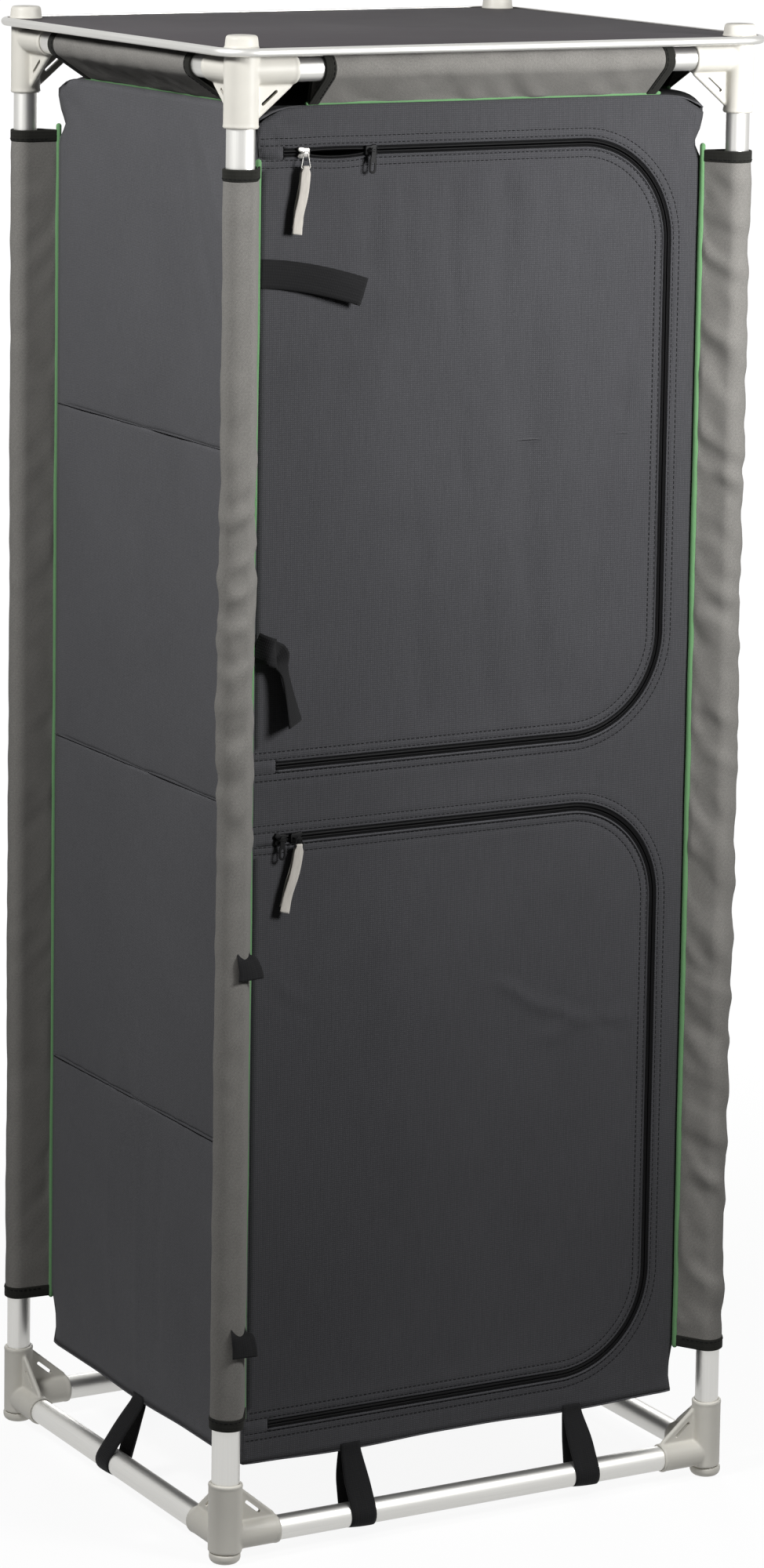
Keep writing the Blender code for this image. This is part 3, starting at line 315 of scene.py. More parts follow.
def bias_piping(name):
    """Green bias tape drawn over a cord: fine threads run slantwise round it. Threads are 0.4 mm, drawn 0.9 mm."""
    return woven(name, colours().piping, 0.9, 0.9, 0.2, 0.3, 0.75, 0.3, 0.8)


def grosgrain_tape(name):
    """Hem tape: polyester grosgrain, whose ribs lie across it 0.8 mm apart, drawn 1.1 mm."""
    return woven(name, colours().tape, 1.1, 3.0, 0.35, 0.4, 0.8, 0.35)


def polypropylene_webbing(name):
    """Loops and ties: coarse ribs across the strap every 1.6 mm and a faint shine."""
    return woven(name, colours().webbing, 2.4, 1.6, 0.4, 0.5, 0.6, 0.5)


def knitted_zip_tape(name):
    """Zip tape: knitted polyester, with close cords 1.1 mm apart along it."""
    return woven(name, colours().zip_tape, 1.1, 5.0, 0.45, 0.4, 0.7, 0.5)


def satin_ribbon(name):
    """Zip pulls: plain satin ribbon, worn, with fine cross threads. Threads are 0.3 mm, drawn 0.8 mm."""
    return woven(name, colours().ribbon, 0.8, 0.8, 0.12, 0.5, 0.55, 0.2, sheen=0.3)


def anodised_aluminium(name):
    """Posts, rails and rim: drawn aluminium, etched and clear anodised, with faint drawing lines along the tube."""
    base = colours().aluminium
    made, tree, _ = surface(name, base, Metallic=1.0, Roughness=0.4)
    flat = add(tree, "UVMap", uv_map="Cloth")
    drawn = noise(tree, stretched(tree, flat, (1500.0, 9.0, 0.0)), 1.0, 3.0)
    etched = noise(tree, flat, 900.0, 1.0)
    rough = ranged(tree, drawn, 0.34, 0.5)
    tone = between(tree, drawn, base, 0.9, 1.04)
    height = maths(tree, "ADD", drawn, etched)
    return finished(made, tone, height, 0.06, 0.0002, rough)


def moulded(name, base, roughness, grain, relief, shine=0.4):
    """Moulded polymer with a fine spark-eroded grain in millimetres and slight flow marks."""
    made, tree, _ = surface(name, base, Roughness=roughness, IOR=1.49, Specular_IOR_Level=shine)
    place = add(tree, "TexCoord").outputs["Object"]
    speck = noise(tree, place, 1 / (grain * MM), 2.0)
    flow = noise(tree, place, 28.0, 4.0, Distortion=0.6)
    tone = between(tree, flow, base, 0.93, 1.06)
    rough = ranged(tree, speck, roughness - 0.08, roughness + 0.1)
    return finished(made, tone, speck, relief, 0.0003, rough)


def moulded_nylon(name):
    """Corner fittings, feet and plugs: glass-filled nylon, warm grey and eggshell. Grain is 0.5 mm, drawn 0.9 mm."""
    return moulded(name, colours().plastic, 0.45, 0.9, 0.12)


def nylon_coil(name):
    """Zip coil: moulded nylon monofilament, black with a slight gloss."""
    return moulded(name, colours().coil, 0.5, 0.8, 0.1, 0.08)


def polyester_thread(name):
    """Sewing thread: twisted polyester, twist drawn 0.8 mm. Its dark colour is partly the thread's own and partly
    painted shade along the stitch lines.
    """
    return moulded(name, colours().thread, 0.7, 0.8, 0.3, 0.05)


def melamine_board(name):
    """Table board: fibreboard faced with dark melamine paper, matt with a faint fibre print along it."""
    base = colours().board
    made, tree, _ = surface(name, base, Roughness=0.6, Specular_IOR_Level=0.12)
    place = add(tree, "TexCoord").outputs["Object"]
    grain = noise(tree, stretched(tree, place, (12.0, 260.0, 40.0)), 1.0, 4.0, Roughness=0.65)
    wear = noise(tree, place, 9.0, 5.0, Roughness=0.7)
    both = maths(tree, "MULTIPLY", grain, wear)
    tone = between(tree, both, base, 0.8, 1.6)
    rough = ranged(tree, wear, 0.52, 0.7)
    return finished(made, tone, grain, 0.08, 0.0002, rough)


def cast_metal(name, base, metallic, roughness, wear, shine=0.5):
    """Small die-cast metal: a thin finish, brighter and darker in random rubbed patches."""
    made, tree, _ = surface(name, base, Metallic=metallic, Roughness=roughness, Specular_IOR_Level=shine)
    place = add(tree, "TexCoord").outputs["Object"]
    rubbed = noise(tree, place, 420.0, 3.0)
    cast = noise(tree, place, 1600.0, 2.0)
    tone = between(tree, rubbed, base, 0.8, wear)
    rough = ranged(tree, rubbed, roughness - 0.08, roughness + 0.12)
    return finished(made, tone, cast, 0.1, 0.0001, rough)


def nickel_plate(name):
    """Silver slider and wire links: nickel plated zinc, bright, with a soft cast skin."""
    return cast_metal(name, colours().nickel, 1.0, 0.3, 1.1)


def black_enamel(name):
    """Black sliders, links and flat pulls: enamelled zinc, satin, greyer where it rubs."""
    return cast_metal(name, colours().enamel, 0.0, 0.5, 1.4, 0.15)


def zinc_plated_steel(name):
    """Threaded studs: dull zinc plated steel."""
    return cast_metal(name, colours().steel, 1.0, 0.4, 1.2)


# Shapes


def measured(points):
    """Distance along a line of points, starting at nothing."""
    return np.concatenate([[0.0], np.cumsum(np.linalg.norm(np.diff(points, axis=0), axis=1))])


def spaced(points, step, closed=False):
    """The same line with its points an even step apart."""
    points = np.asarray(points, float)
    if closed:
        points = np.vstack([points, points[:1]])
    along = measured(points)
    count = max(2, round(along[-1] / step) + 1)
    places = np.linspace(0, along[-1], count)
    line = np.stack([np.interp(places, along, points[:, k]) for k in range(points.shape[1])], 1)
    return line[:-1] if closed else line


def headings(points, closed=False):
    """Unit direction of travel at each point of a line."""
    if closed:
        ahead = np.roll(points, -1, axis=0) - np.roll(points, 1, axis=0)
    else:
        ahead = np.gradient(points, axis=0)
    return ahead / np.maximum(np.linalg.norm(ahead, axis=1, keepdims=True), 1e-12)


def smoothed(line, times):
    """A line whose inner points are drawn again and again towards the middle of their neighbours."""
    for _ in range(times):
        line[1:-1] = (line[:-2] + 2 * line[1:-1] + line[2:]) / 4
    return line


def ease(x):
    """Runs smoothly from 0 at 0 to 1 at 1, and stays level beyond them."""
    x = np.clip(x, 0, 1)
    return x * x * (3 - 2 * x)


def lumps(u, v, across, along, seed):
    """Smooth random relief between -1 and 1, with lumps of the given sizes in metres."""
    count = 97
    table = np.random.default_rng(seed).uniform(-1, 1, (count, count))
    x, y = np.asarray(u) / across + 50.3, np.asarray(v) / along + 50.7
    i, j = np.floor(x).astype(int), np.floor(y).astype(int)
    a, b = ease(x - i), ease(y - j)
    pick = lambda m, n: table[(i + m) % count, (j + n) % count]
    return (pick(0, 0) * (1 - a) + pick(1, 0) * a) * (1 - b) + (pick(0, 1) * (1 - a) + pick(1, 1) * a) * b


def meshed(name, verts, faces, cloth_map=None):
    """Smooth mesh from vertices and faces, with a map called Cloth in metres where one is given."""
    mesh = bpy.data.meshes.new(name)
    mesh.from_pydata(verts, [], faces)
    if cloth_map is not None:
        mesh.uv_layers.new(name="Cloth").data.foreach_set("uv", cloth_map.astype(np.float32).ravel())
    mesh.shade_smooth()
    return mesh


def grid(points, wrap=False):
    """Mesh through rows of points, mapped across the rows, then along them."""
    points = np.asarray(points, float)
    rows, columns = points.shape[:2]
    number = np.arange(rows * columns).reshape(rows, columns)
    full = points
    if wrap:
        number = np.append(number, number[:, :1], axis=1)
        full = np.append(points, points[:, :1], axis=1)
    u, v = np.meshgrid(measured(full[rows // 2]), measured(full[:, columns // 2]))
    here, after = slice(None, -1), slice(1, None)
    around = ((here, here), (here, after), (after, after), (after, here))
    faces = np.stack([number[a] for a in around], -1).reshape(-1, 4)
    cloth_map = np.stack([np.stack([u[a], v[a]], -1) for a in around], 2).reshape(-1, 2)
    return meshed("grid", points.reshape(-1, 3).tolist(), faces.tolist(), cloth_map)


def welded(*meshes):
    """One mesh from several, with their maps."""
    bm = bmesh.new()
    for mesh in meshes:
        bm.from_mesh(mesh)
    made = bpy.data.meshes.new("welded")
    bm.to_mesh(made)
    bm.free()
    made.shade_smooth()
    return made


def carried(mesh, matrix):
    """The same mesh moved by a matrix."""
    mesh.transform(matrix)
    if matrix.determinant() < 0:
        mesh.flip_normals()
    return mesh


UPRIGHT = Matrix.Rotation(math.pi / 2, 4, "X")  # stands a flat outline up, facing the front


def quarter_turn(quarter, axes=4):
    """Matrix that turns by quarters of a circle about Z."""
    return Matrix.Rotation(quarter * math.pi / 2, axes, "Z")


def placed(name, data):
    """A new object, linked to the scene."""
    made = bpy.data.objects.new(name, data)
    bpy.context.scene.collection.objects.link(made)
    return made


def piece(name, mesh, finish, body, replaces=(), thickness=0.0, offset=-1.0):
    """Puts a mesh in the scene as a piece that rides on a body, with its finish and its thickness."""
    made = placed(name, mesh)
    mesh.materials.clear()
    mesh.materials.append(finish)
    if thickness:
        solid = made.modifiers.new("thickness", "SOLIDIFY")
        solid.thickness, solid.offset, solid.use_even_offset = thickness, offset, False
    if body:
        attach(made, body)
    if replaces:
        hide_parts(*replaces)
    return made


def ring_points(radius, sides):
    """Points (x, y) of a circle."""
    turn = np.arange(sides) * 2 * math.pi / sides
    return np.stack([np.cos(turn), np.sin(turn)], 1) * radius


def lathe(profile, sides):
    """Turned shape about Z through (radius, height) pairs."""
    circle = ring_points(1.0, sides)
    rows = [np.column_stack([circle * max(radius, 1e-6), np.full(sides, z)]) for radius, z in profile]
    return grid(rows, wrap=True)


def round_bar(path, radius, sides, closed=False, hint=(0, 0, 1)):
    """Round cord or wire along a path, its ends rounded off. The hint is a way that the path never runs."""
    path = np.asarray(path, float)
    ahead = headings(path, closed)
    radii = np.full(len(path), radius)
    if not closed:
        first = [path[0] - ahead[0] * radius * k for k in (1.0, 0.87, 0.5)]
        last = [path[-1] + ahead[-1] * radius * k for k in (0.5, 0.87, 1.0)]
        path = np.vstack([first, path, last])
        ahead = np.vstack([[ahead[0]] * 3, ahead, [ahead[-1]] * 3])
        cap = radius * np.array([0.02, 0.5, 0.87])
        radii = np.concatenate([cap, radii, cap[::-1]])
    side = np.cross(ahead, np.asarray(hint, float))
    side /= np.maximum(np.linalg.norm(side, axis=1, keepdims=True), 1e-9)
    up = np.cross(side, ahead)
    circle = ring_points(1.0, sides)
    spokes = side[:, None] * circle[None, :, :1] + up[:, None] * circle[None, :, 1:]
    rows = path[:, None] + radii[:, None, None] * spokes
    if closed:
        rows = np.concatenate([rows, rows[:1]])
    return grid(rows, wrap=True)


def strap(path, across, width, columns, cup=0.0):
    """Flat strap along a path, its width lying along the given directions, slightly cupped."""
    path, across = np.asarray(path, float), np.asarray(across, float)
    ahead = headings(path)
    thick = np.cross(ahead, across)
    thick /= np.linalg.norm(thick, axis=1, keepdims=True)
    wide = np.cross(thick, ahead)
    width = np.broadcast_to(np.asarray(width, float), (len(path),))
    t = np.linspace(-1, 1, columns)
    rows = path[:, None] + wide[:, None] * (width[:, None] / 2 * t)[..., None]
    return grid(rows + thick[:, None] * (cup * (1 - t * t))[None, :, None])


def plate(outline, low, high, bevel):
    """Flat plate from an outline in XY, with small rounded edges."""
    bm = bmesh.new()
    face = bm.faces.new([bm.verts.new((x, y, low)) for x, y in outline])
    grown = bmesh.ops.extrude_face_region(bm, geom=[face])
    raised = [v for v in grown["geom"] if isinstance(v, bmesh.types.BMVert)]
    bmesh.ops.translate(bm, verts=raised, vec=(0, 0, high - low))
    bmesh.ops.recalc_face_normals(bm, faces=bm.faces)
    rims = [e for e in bm.edges if len(e.link_faces) == 2 and e.calc_face_angle(0) > 1.0]
    if bevel:
        bmesh.ops.bevel(bm, geom=rims, offset=bevel, segments=2, affect="EDGES", profile=0.5, clamp_overlap=True)
    made = bpy.data.meshes.new("plate")
    bm.to_mesh(made)
    bm.free()
    made.shade_smooth()
    made.set_sharp_from_angle(angle=math.radians(50))
    return made


def sewn(lines):
    """One mesh of raised stitches, one dash after another along each (points, outward directions) line."""
    length, pitch, radius = sizes().stitch, sizes().stitch_pitch, sizes().thread
    ends = np.array([-0.5, -0.3, 0.3, 0.5]) * length
    thick = np.array([0.35, 1.0, 1.0, 0.35]) * radius
    sides, flatter = 5, 0.8
    circle = ring_points(1.0, sides)
    shape = np.array([[(x, r * c, r * s * flatter) for c, s in circle] for x, r in zip(ends, thick)])
    verts, faces = [], []
    for points, outward in lines:
        points, outward = np.asarray(points, float), np.asarray(outward, float)
        along = measured(points)
        middles = np.arange(pitch / 2, along[-1], pitch)
        ahead = headings(points)
        at = lambda values: np.stack([np.interp(middles, along, values[:, k]) for k in range(3)], 1)
        place, heading, out = at(points), at(ahead), at(outward)
        side = np.cross(heading, out)
        for p, h, s, o in zip(place, heading, side, out):
            first = len(verts)
            verts += (p + shape[..., :1] * h + shape[..., 1:2] * s + shape[..., 2:] * o).reshape(-1, 3).tolist()
            last = first + (len(ends) - 1) * sides
            for ring in range(first, last, sides):
                for k in range(sides):
                    a, b = ring + k, ring + (k + 1) % sides
                    faces.append((a, b, b + sides, a + sides))
            faces += [tuple(range(first + sides - 1, first - 1, -1)), tuple(range(last, last + sides))]
    return meshed("stitches", verts, faces)


def facing(mesh, way=None):
    """The mesh with its faces turned the given way, or out from its middle."""
    count = len(mesh.polygons)
    normals, centres, areas = np.zeros(count * 3), np.zeros(count * 3), np.zeros(count)
    mesh.polygons.foreach_get("normal", normals)
    mesh.polygons.foreach_get("center", centres)
    mesh.polygons.foreach_get("area", areas)
    normals, centres = normals.reshape(-1, 3), centres.reshape(-1, 3)
    ways = centres - centres.mean(0) if way is None else np.asarray(way, float)
    if ((normals * ways).sum(1) * areas).sum() < 0:
        mesh.flip_normals()
    return mesh


def inside(loop, x, z):
    """Whether points lie within a closed outline."""
    a = np.asarray(loop, float)
    b = np.roll(a, -1, axis=0)
    rise = b[:, 1] - a[:, 1]
    crosses = (a[:, 1, None] > z) != (b[:, 1, None] > z)
    run = (b[:, 0] - a[:, 0])[:, None] * (z - a[:, 1, None])
    at = run / np.where(rise == 0, 1, rise)[:, None] + a[:, 0, None]
    return (crosses & (x < at)).sum(0) % 2 == 1


def within(outline, holes, x, z):
    """Whether points lie within an outline and outside its holes."""
    keep = inside(outline, x, z)
    for hole in holes:
        keep &= ~inside(hole, x, z)
    return keep


def dense(loop, step):
    """A closed outline with points added on its long sides."""
    made = []
    for a, b in zip(loop, [*loop[1:], loop[0]]):
        a, b = np.asarray(a, float), np.asarray(b, float)
        count = max(1, math.ceil(np.linalg.norm(b - a) / step))
        made += [tuple(a + (b - a) * i / count) for i in range(count)]
    return made


def cut_cloth(outline, holes, lines):
    """Front cloth cut to an outline with holes, on the front's relief, with rows of points kept along the lines."""
    spacing = 0.0065
    points, edges = [], []
    for loop in (outline, *holes):
        first = len(points)
        points += loop
        edges += [(first + i, first + (i + 1) % len(loop)) for i in range(len(loop))]
    for line in lines:
        first = len(points)
        points += [tuple(p) for p in line]
        edges += [(first + i, first + i + 1) for i in range(len(line) - 1)]
    tree = kdtree.KDTree(len(points))
    for i, (x, z) in enumerate(points):
        tree.insert((x, z, 0), i)
    tree.balance()
    low, high = np.min(outline, axis=0), np.max(outline, axis=0)
    columns, rows = (np.arange(low[k], high[k], spacing) for k in (0, 1))
    x, z = (a.ravel() for a in np.meshgrid(columns, rows))
    keep = within(outline, holes, x, z)
    points += [(a, b) for a, b in zip(x[keep], z[keep]) if tree.find((a, b, 0))[2] > 0.6 * spacing]
    places, _, faces, *_ = geometry.delaunay_2d_cdt([Vector(p) for p in points], edges, [], 0, 1e-7)
    flat = np.array([tuple(p) for p in places])
    faces = np.array([tuple(f) for f in faces])
    faces = faces[within(outline, holes, *flat[faces].mean(1).T)]
    used, faces = np.unique(faces, return_inverse=True)
    flat, faces = flat[used], faces.reshape(-1, 3)
    places = front_points(*flat.T, front_out(*flat.T))
    return facing(meshed("cut cloth", places.tolist(), faces.tolist(), flat[faces.ravel()]), (0, -1, 0))


# The body's outline and relief

RAIL_SEAM_Z = BODY_TOP - 0.0018
WALL_TOP = RAIL_SEAM_Z - 0.0012
HEM_ROWS = (0.0064, 0.0125)  # rows of stitches, from the middle of the zip
HEM_LINES = (0.0055, 0.0064, 0.0073, 0.0115, 0.0125, 0.0136)  # creases of the hem, kept as rows of points
HEM_ACROSS = np.array([0.6, 0.0, -0.35, -0.1, 3.0, 13.0]) * MM  # the hem's turned edge, from the edge of the cloth
HEM_OUT = np.array([0.55, 0.5, 0.0, -0.7, -1.1, -1.1]) * MM
SILVER_X = centre("upper_slider_silver")[0]
BLACK_X = centre("upper_slider_black")[0]
OPEN_TOP = DOORS["upper"][3]


def drawn_in(z, held=0.0):
    """How far the body's upright edges are drawn in beyond its tunnels, less where the lower end is held."""
    low, top = TUNNEL_LOW.z + 0.004, TUNNEL_HIGH.z
    places, drawn = zip(
        (WALL_BOTTOM, 0.0016),
        (low - 0.030, 0.0032),
        (low - 0.018, 0.0030),
        (low - 0.006, 0.0018),
        (low + 0.008, 0.0),
        (top - 0.008, 0.0),
        (top + 0.001, 0.0030),
        (top + 0.007, 0.0046),
        (top + 0.012, 0.0034),
        (top + 0.019, 0.0014),
        (top + 0.032, -0.0006),
        (WALL_TOP - 0.006, -0.0004),
        (WALL_TOP, 0.0006),
    )
    return np.interp(z, places, drawn) * np.where(np.asarray(z) < 0.5, 1 - held, 1)


def front_left(here):
    """Share by which the front left corner's lower end is held, where the condition is true."""
    return 0.8 * np.asarray(here, float)


def shoulder(away):
    """How far the body's top edge drops at a distance from its corner."""
    places = [0, 0.004, 0.009, 0.016, 0.022, 0.030, 0.038, 0.055]
    return np.interp(away, places, [0.0120, 0.0102, 0.0072, 0.0040, 0.0024, 0.0011, 0.0004, 0.0])


def bottom_edge(across, loops):
    """Height of the body's lower edge: it bows up a little between the webbing loops."""
    nearest = np.min([np.abs(across - loop) for loop in loops], axis=0)
    return WALL_BOTTOM - 0.0006 + 0.0022 * ease((nearest - 0.008) / 0.085)


def turned_in(half, across, drawn):
    """How far a wall bends back beside its drawn-in edge, so that it meets its neighbour."""
    return drawn * ease(1 - (half - drawn - np.abs(across)) / 0.012)


def corner_creases(across, z, half, depth, seed):
    """Creases that run out from the body's top corners."""
    turn, rays = np.random.default_rng(seed).uniform(0, 6), 9
    total = 0
    for side in (-1, 1):
        dx, dz = half - side * across, WALL_TOP - 0.008 - z
        r = np.hypot(dx, dz)
        total = total + np.cos(rays * np.arctan2(dz, dx) + turn + side) * np.exp(-r / 0.045) * ease(r / 0.012)
    return depth * total


def fold(x, z, ends, width, depth):
    """One soft valley along a line, or a ridge where the depth is negative, fading at both ends."""
    x0, z0, x1, z1 = ends
    long = math.hypot(x1 - x0, z1 - z0)
    ax, az = (x1 - x0) / long, (z1 - z0) / long
    t = ((x - x0) * ax + (z - z0) * az) / long
    d = (x - x0) * az - (z - z0) * ax + 0.0025 * np.sin(9 * t)
    return -depth * np.exp(-((d / width) ** 2)) * ease((t + 0.12) / 0.3) * ease((1.12 - t) / 0.3)


def wall_out(across, z, half, seed, crease=None):
    """Relief of a plain wall: pillows between the shelf seams, soft upright folds, and puckers along each seam."""
    seams = (WALL_BOTTOM, *SHELVES, WALL_TOP)
    out = np.zeros(np.broadcast(across, z).shape)
    for low, high in zip(seams, seams[1:]):
        t = np.clip((z - low) / (high - low), 0, 1)
        out = np.maximum(out, 0.0024 * np.sin(np.pi * t) ** 0.6)
    wide, fine = lumps(across, z, 0.060, 0.40, seed), lumps(across + 0.15 * z, z, 0.026, 0.11, seed + 1)
    out = out + sizes().wall_folds * (0.7 * wide + 0.3 * fine)
    for shelf in SHELVES:
        near = np.abs(z - shelf)
        puckers = 0.0008 * lumps(across, z, 0.013, 0.035, seed + 2) * np.exp(-near / 0.022)
        out = out - 0.0013 * np.exp(-((near / 0.0015) ** 2)) + puckers
    if crease is not None:
        aside = across - crease - 0.003 * lumps(z, 0, 0.3, 1, seed + 3)
        out = out + 0.0013 * np.exp(-((aside / 0.0030) ** 2))
        for line, width, depth in SIDE_FOLDS:
            out = out + fold(across, z, line, width, depth)
    edge = ease((half - np.abs(across)) / 0.028) * ease((WALL_TOP - z) / 0.03) * ease((z - WALL_BOTTOM) / 0.02)
    return out * edge + corner_creases(across, z, half, 0.0016, seed) * ease((half - np.abs(across)) / 0.006)


# Folds as in the photograph: ends (x, z, x, z) of each valley, its width and its depth
SIDE_FOLDS = (
    ((0.062, 1.245, 0.132, 1.060), 0.0050, 0.0020),
    ((0.046, 1.220, 0.100, 1.030), 0.0045, 0.0014),
    ((0.080, 1.250, 0.168, 1.120), 0.0060, -0.0017),
    ((0.052, 1.010, 0.050, 0.780), 0.0060, 0.0011),
    ((-0.060, 0.940, -0.050, 0.760), 0.0070, 0.0010),
    ((0.035, 0.330, 0.030, 0.130), 0.0060, 0.0013),
    ((-0.070, 0.320, -0.060, 0.120), 0.0080, -0.0011),
)
FRONT_FOLDS = (
    ((-0.077, 1.222, -0.0755, 1.120), 0.0060, 0.0016),
    ((-0.105, 1.218, -0.112, 1.120), 0.0075, 0.0012),
    ((-0.033, 1.222, -0.0270, 1.070), 0.0065, 0.0025),
    ((-0.019, 1.010, -0.0155, 0.925), 0.0040, 0.0018),
    ((0.021, 1.222, 0.032, 0.980), 0.0120, 0.0039),
    ((0.047, 1.110, 0.062, 0.720), 0.0140, 0.0039),
    ((0.083, 1.215, 0.088, 0.900), 0.0110, -0.0018),
    ((0.158, 1.035, 0.113, 0.780), 0.0110, 0.0036),
    ((0.185, 1.015, 0.148, 0.990), 0.0070, 0.0015),
    ((-0.060, 0.900, -0.055, 0.720), 0.0100, 0.0014),
    ((0.005, 0.880, 0.010, 0.720), 0.0090, 0.0014),
    ((0.024, 0.484, 0.112, 0.442), 0.0050, -0.0019),
    ((0.070, 0.424, 0.112, 0.440), 0.0045, -0.0015),
    ((0.110, 0.441, 0.186, 0.438), 0.0055, -0.0015),
    ((0.112, 0.452, 0.172, 0.420), 0.0045, 0.0012),
    ((-0.208, 0.525, -0.168, 0.484), 0.0050, -0.0014),
    ((-0.206, 0.500, -0.160, 0.470), 0.0050, 0.0012),
)


def zip_distance(x, z, door):
    """Distance from a zip's middle, negative on the door."""
    _, right, low, high = DOORS[door]
    qx = x - (right - DOOR_CORNER)
    qz = np.abs(z - (low + high) / 2) - ((high - low) / 2 - DOOR_CORNER)
    return np.hypot(np.maximum(qx, 0), np.maximum(qz, 0)) + np.minimum(np.maximum(qx, qz), 0) - DOOR_CORNER


def front_out(x, z):
    """Relief of the front: turned hems along both zips with their stitch grooves, and soft upright folds elsewhere."""
    near = np.minimum(np.abs(zip_distance(x, z, "upper")), np.abs(zip_distance(x, z, "lower")))
    places = np.array([0, 4.9, 5.6, 6.0, 6.4, 6.8, 7.5, 11.3, 11.9, 12.5, 13.1, 14.0, 18.0, 26.0]) * MM
    raised = np.array([0.5, 0.5, 0.75, 0.65, 0.3, 0.6, 0.75, 0.75, 0.6, 0.25, 0.5, 0.45, 0.2, 0.0]) * MM
    hems = np.interp(near, places, raised)
    wide, fine = lumps(x, z, 0.050, 0.36, 5), lumps(x - 0.1 * z, z, 0.022, 0.10, 6)
    relief = sizes().wall_folds * (0.55 * wide + 0.3 * fine)
    for line, width, depth in FRONT_FOLDS:
        relief = relief + fold(x, z, line, width, depth)
    puckers = lumps(x, z, 0.0095, 0.045, 7) * np.exp(-near / 0.022) * ease((near - 0.0135) / 0.006)
    away = ease((near - 0.010) / 0.035)
    edge = ease((WALL_X - np.abs(x)) / 0.02) * ease((WALL_TOP - z) / 0.03) * ease((z - WALL_BOTTOM) / 0.02)
    quiet = 0.35 + 0.65 * ease((x + 0.19) / 0.09)
    creases = corner_creases(x, z, WALL_X, 0.0022, 8) * ease((WALL_X - np.abs(x)) / 0.006) * ease(near / 0.02)
    back = turned_in(WALL_X, x, drawn_in(z, front_left(x < 0)))
    return hems + relief * away * edge * quiet + 0.0008 * puckers * edge + creases - back


def front_points(x, z, out):
    """Points of the front from their places on it."""
    return np.stack([x, -WALL_Y - out, z + 0 * x], -1)


def gaping(mesh, door, door_side):
    """The same mesh, spread along the upper zip where that is open, between its two sliders."""
    if door != "upper":
        return mesh
    co = np.zeros(len(mesh.vertices) * 3)
    mesh.vertices.foreach_get("co", co)
    co = co.reshape(-1, 3)
    t = (co[:, 0] - SILVER_X - 0.004) / (BLACK_X - SILVER_X - 0.008)
    spread = np.sin(np.pi * np.clip(t, 0, 1)) ** 0.6
    away = np.abs(co[:, 2] - OPEN_TOP)
    if door_side:
        co[:, 2] -= 0.0032 * spread * np.exp(-away / 0.022)
    else:
        co[:, 2] += 0.0008 * spread * np.exp(-away / 0.012) * (co[:, 2] > OPEN_TOP)
    mesh.vertices.foreach_set("co", co.ravel())
    mesh.update()
    return mesh


def zip_path(door, step, start):
    """Points (x, z) along a zip's middle from its start, and directions away from the door."""
    _, right, low, high = DOORS[door]
    turn = np.linspace(math.pi / 2, 0, 40)
    r = DOOR_CORNER
    upper = np.stack([right - r + r * np.cos(turn), high - r + r * np.sin(turn)], 1)
    lower = np.stack([upper[::-1, 0], low + high - upper[::-1, 1]], 1)
    line = spaced(np.vstack([[(start, high)], upper, lower, [(start, low)]]), step)
    ahead = headings(line)
    return line, np.stack([-ahead[:, 1], ahead[:, 0]], 1)


def zip_offset(door, offset, step=0.005, start=ZIP_START):
    """Points (x, z) of a line beside a zip, the offset negative on the door."""
    line, away = zip_path(door, step, start)
    return line + away * offset


def zip_ribbon(door, offsets, outs, step=0.004, teeth=0.0):
    """Strip that follows a zip, from distances across it and how far each stands out. Teeth lower every other row."""
    line, away = zip_path(door, step, ZIP_START)
    rows = []
    for i, (point, way) in enumerate(zip(line, away)):
        x = point[0] + way[0] * np.asarray(offsets)
        z = point[1] + way[1] * np.asarray(offsets)
        lift = np.asarray(outs) * (1 - teeth * (i % 2))
        rows.append(np.stack([x, -WALL_Y - lift, z], -1))
    return facing(grid(rows), (0, -1, 0))


def wall(half, quarter, plane, loops, seed, crease=None):
    """Plain wall as a dense sheet, hung between its tunnels."""
    a = np.linspace(-1, 1, round(2 * half / 0.0055) + 1)
    tall = WALL_TOP - WALL_BOTTOM
    rise = [np.linspace(0, 1, round(tall / 0.0065))]
    for shelf in SHELVES:
        rise.append((shelf - WALL_BOTTOM + np.array([-4.5, -2.6, -1.6, -0.8, 0, 0.8, 1.6, 2.6, 4.5]) * MM) / tall)
    v = np.unique(np.round(np.concatenate(rise), 5))
    a, v = np.meshgrid(a, v)
    low, high = bottom_edge(a * half, loops), WALL_TOP - shoulder(half * (1 - np.abs(a)))
    z = low + v * (high - low)
    drawn = drawn_in(z, front_left((quarter == 3) & (a > 0)))
    across = a * (half - drawn)
    out = wall_out(across, z, half, seed, crease) - turned_in(half, across, drawn)
    mesh = grid(np.stack([across, -plane - out, z], -1))
    return carried(facing(mesh, (0, -1, 0)), quarter_turn(quarter))


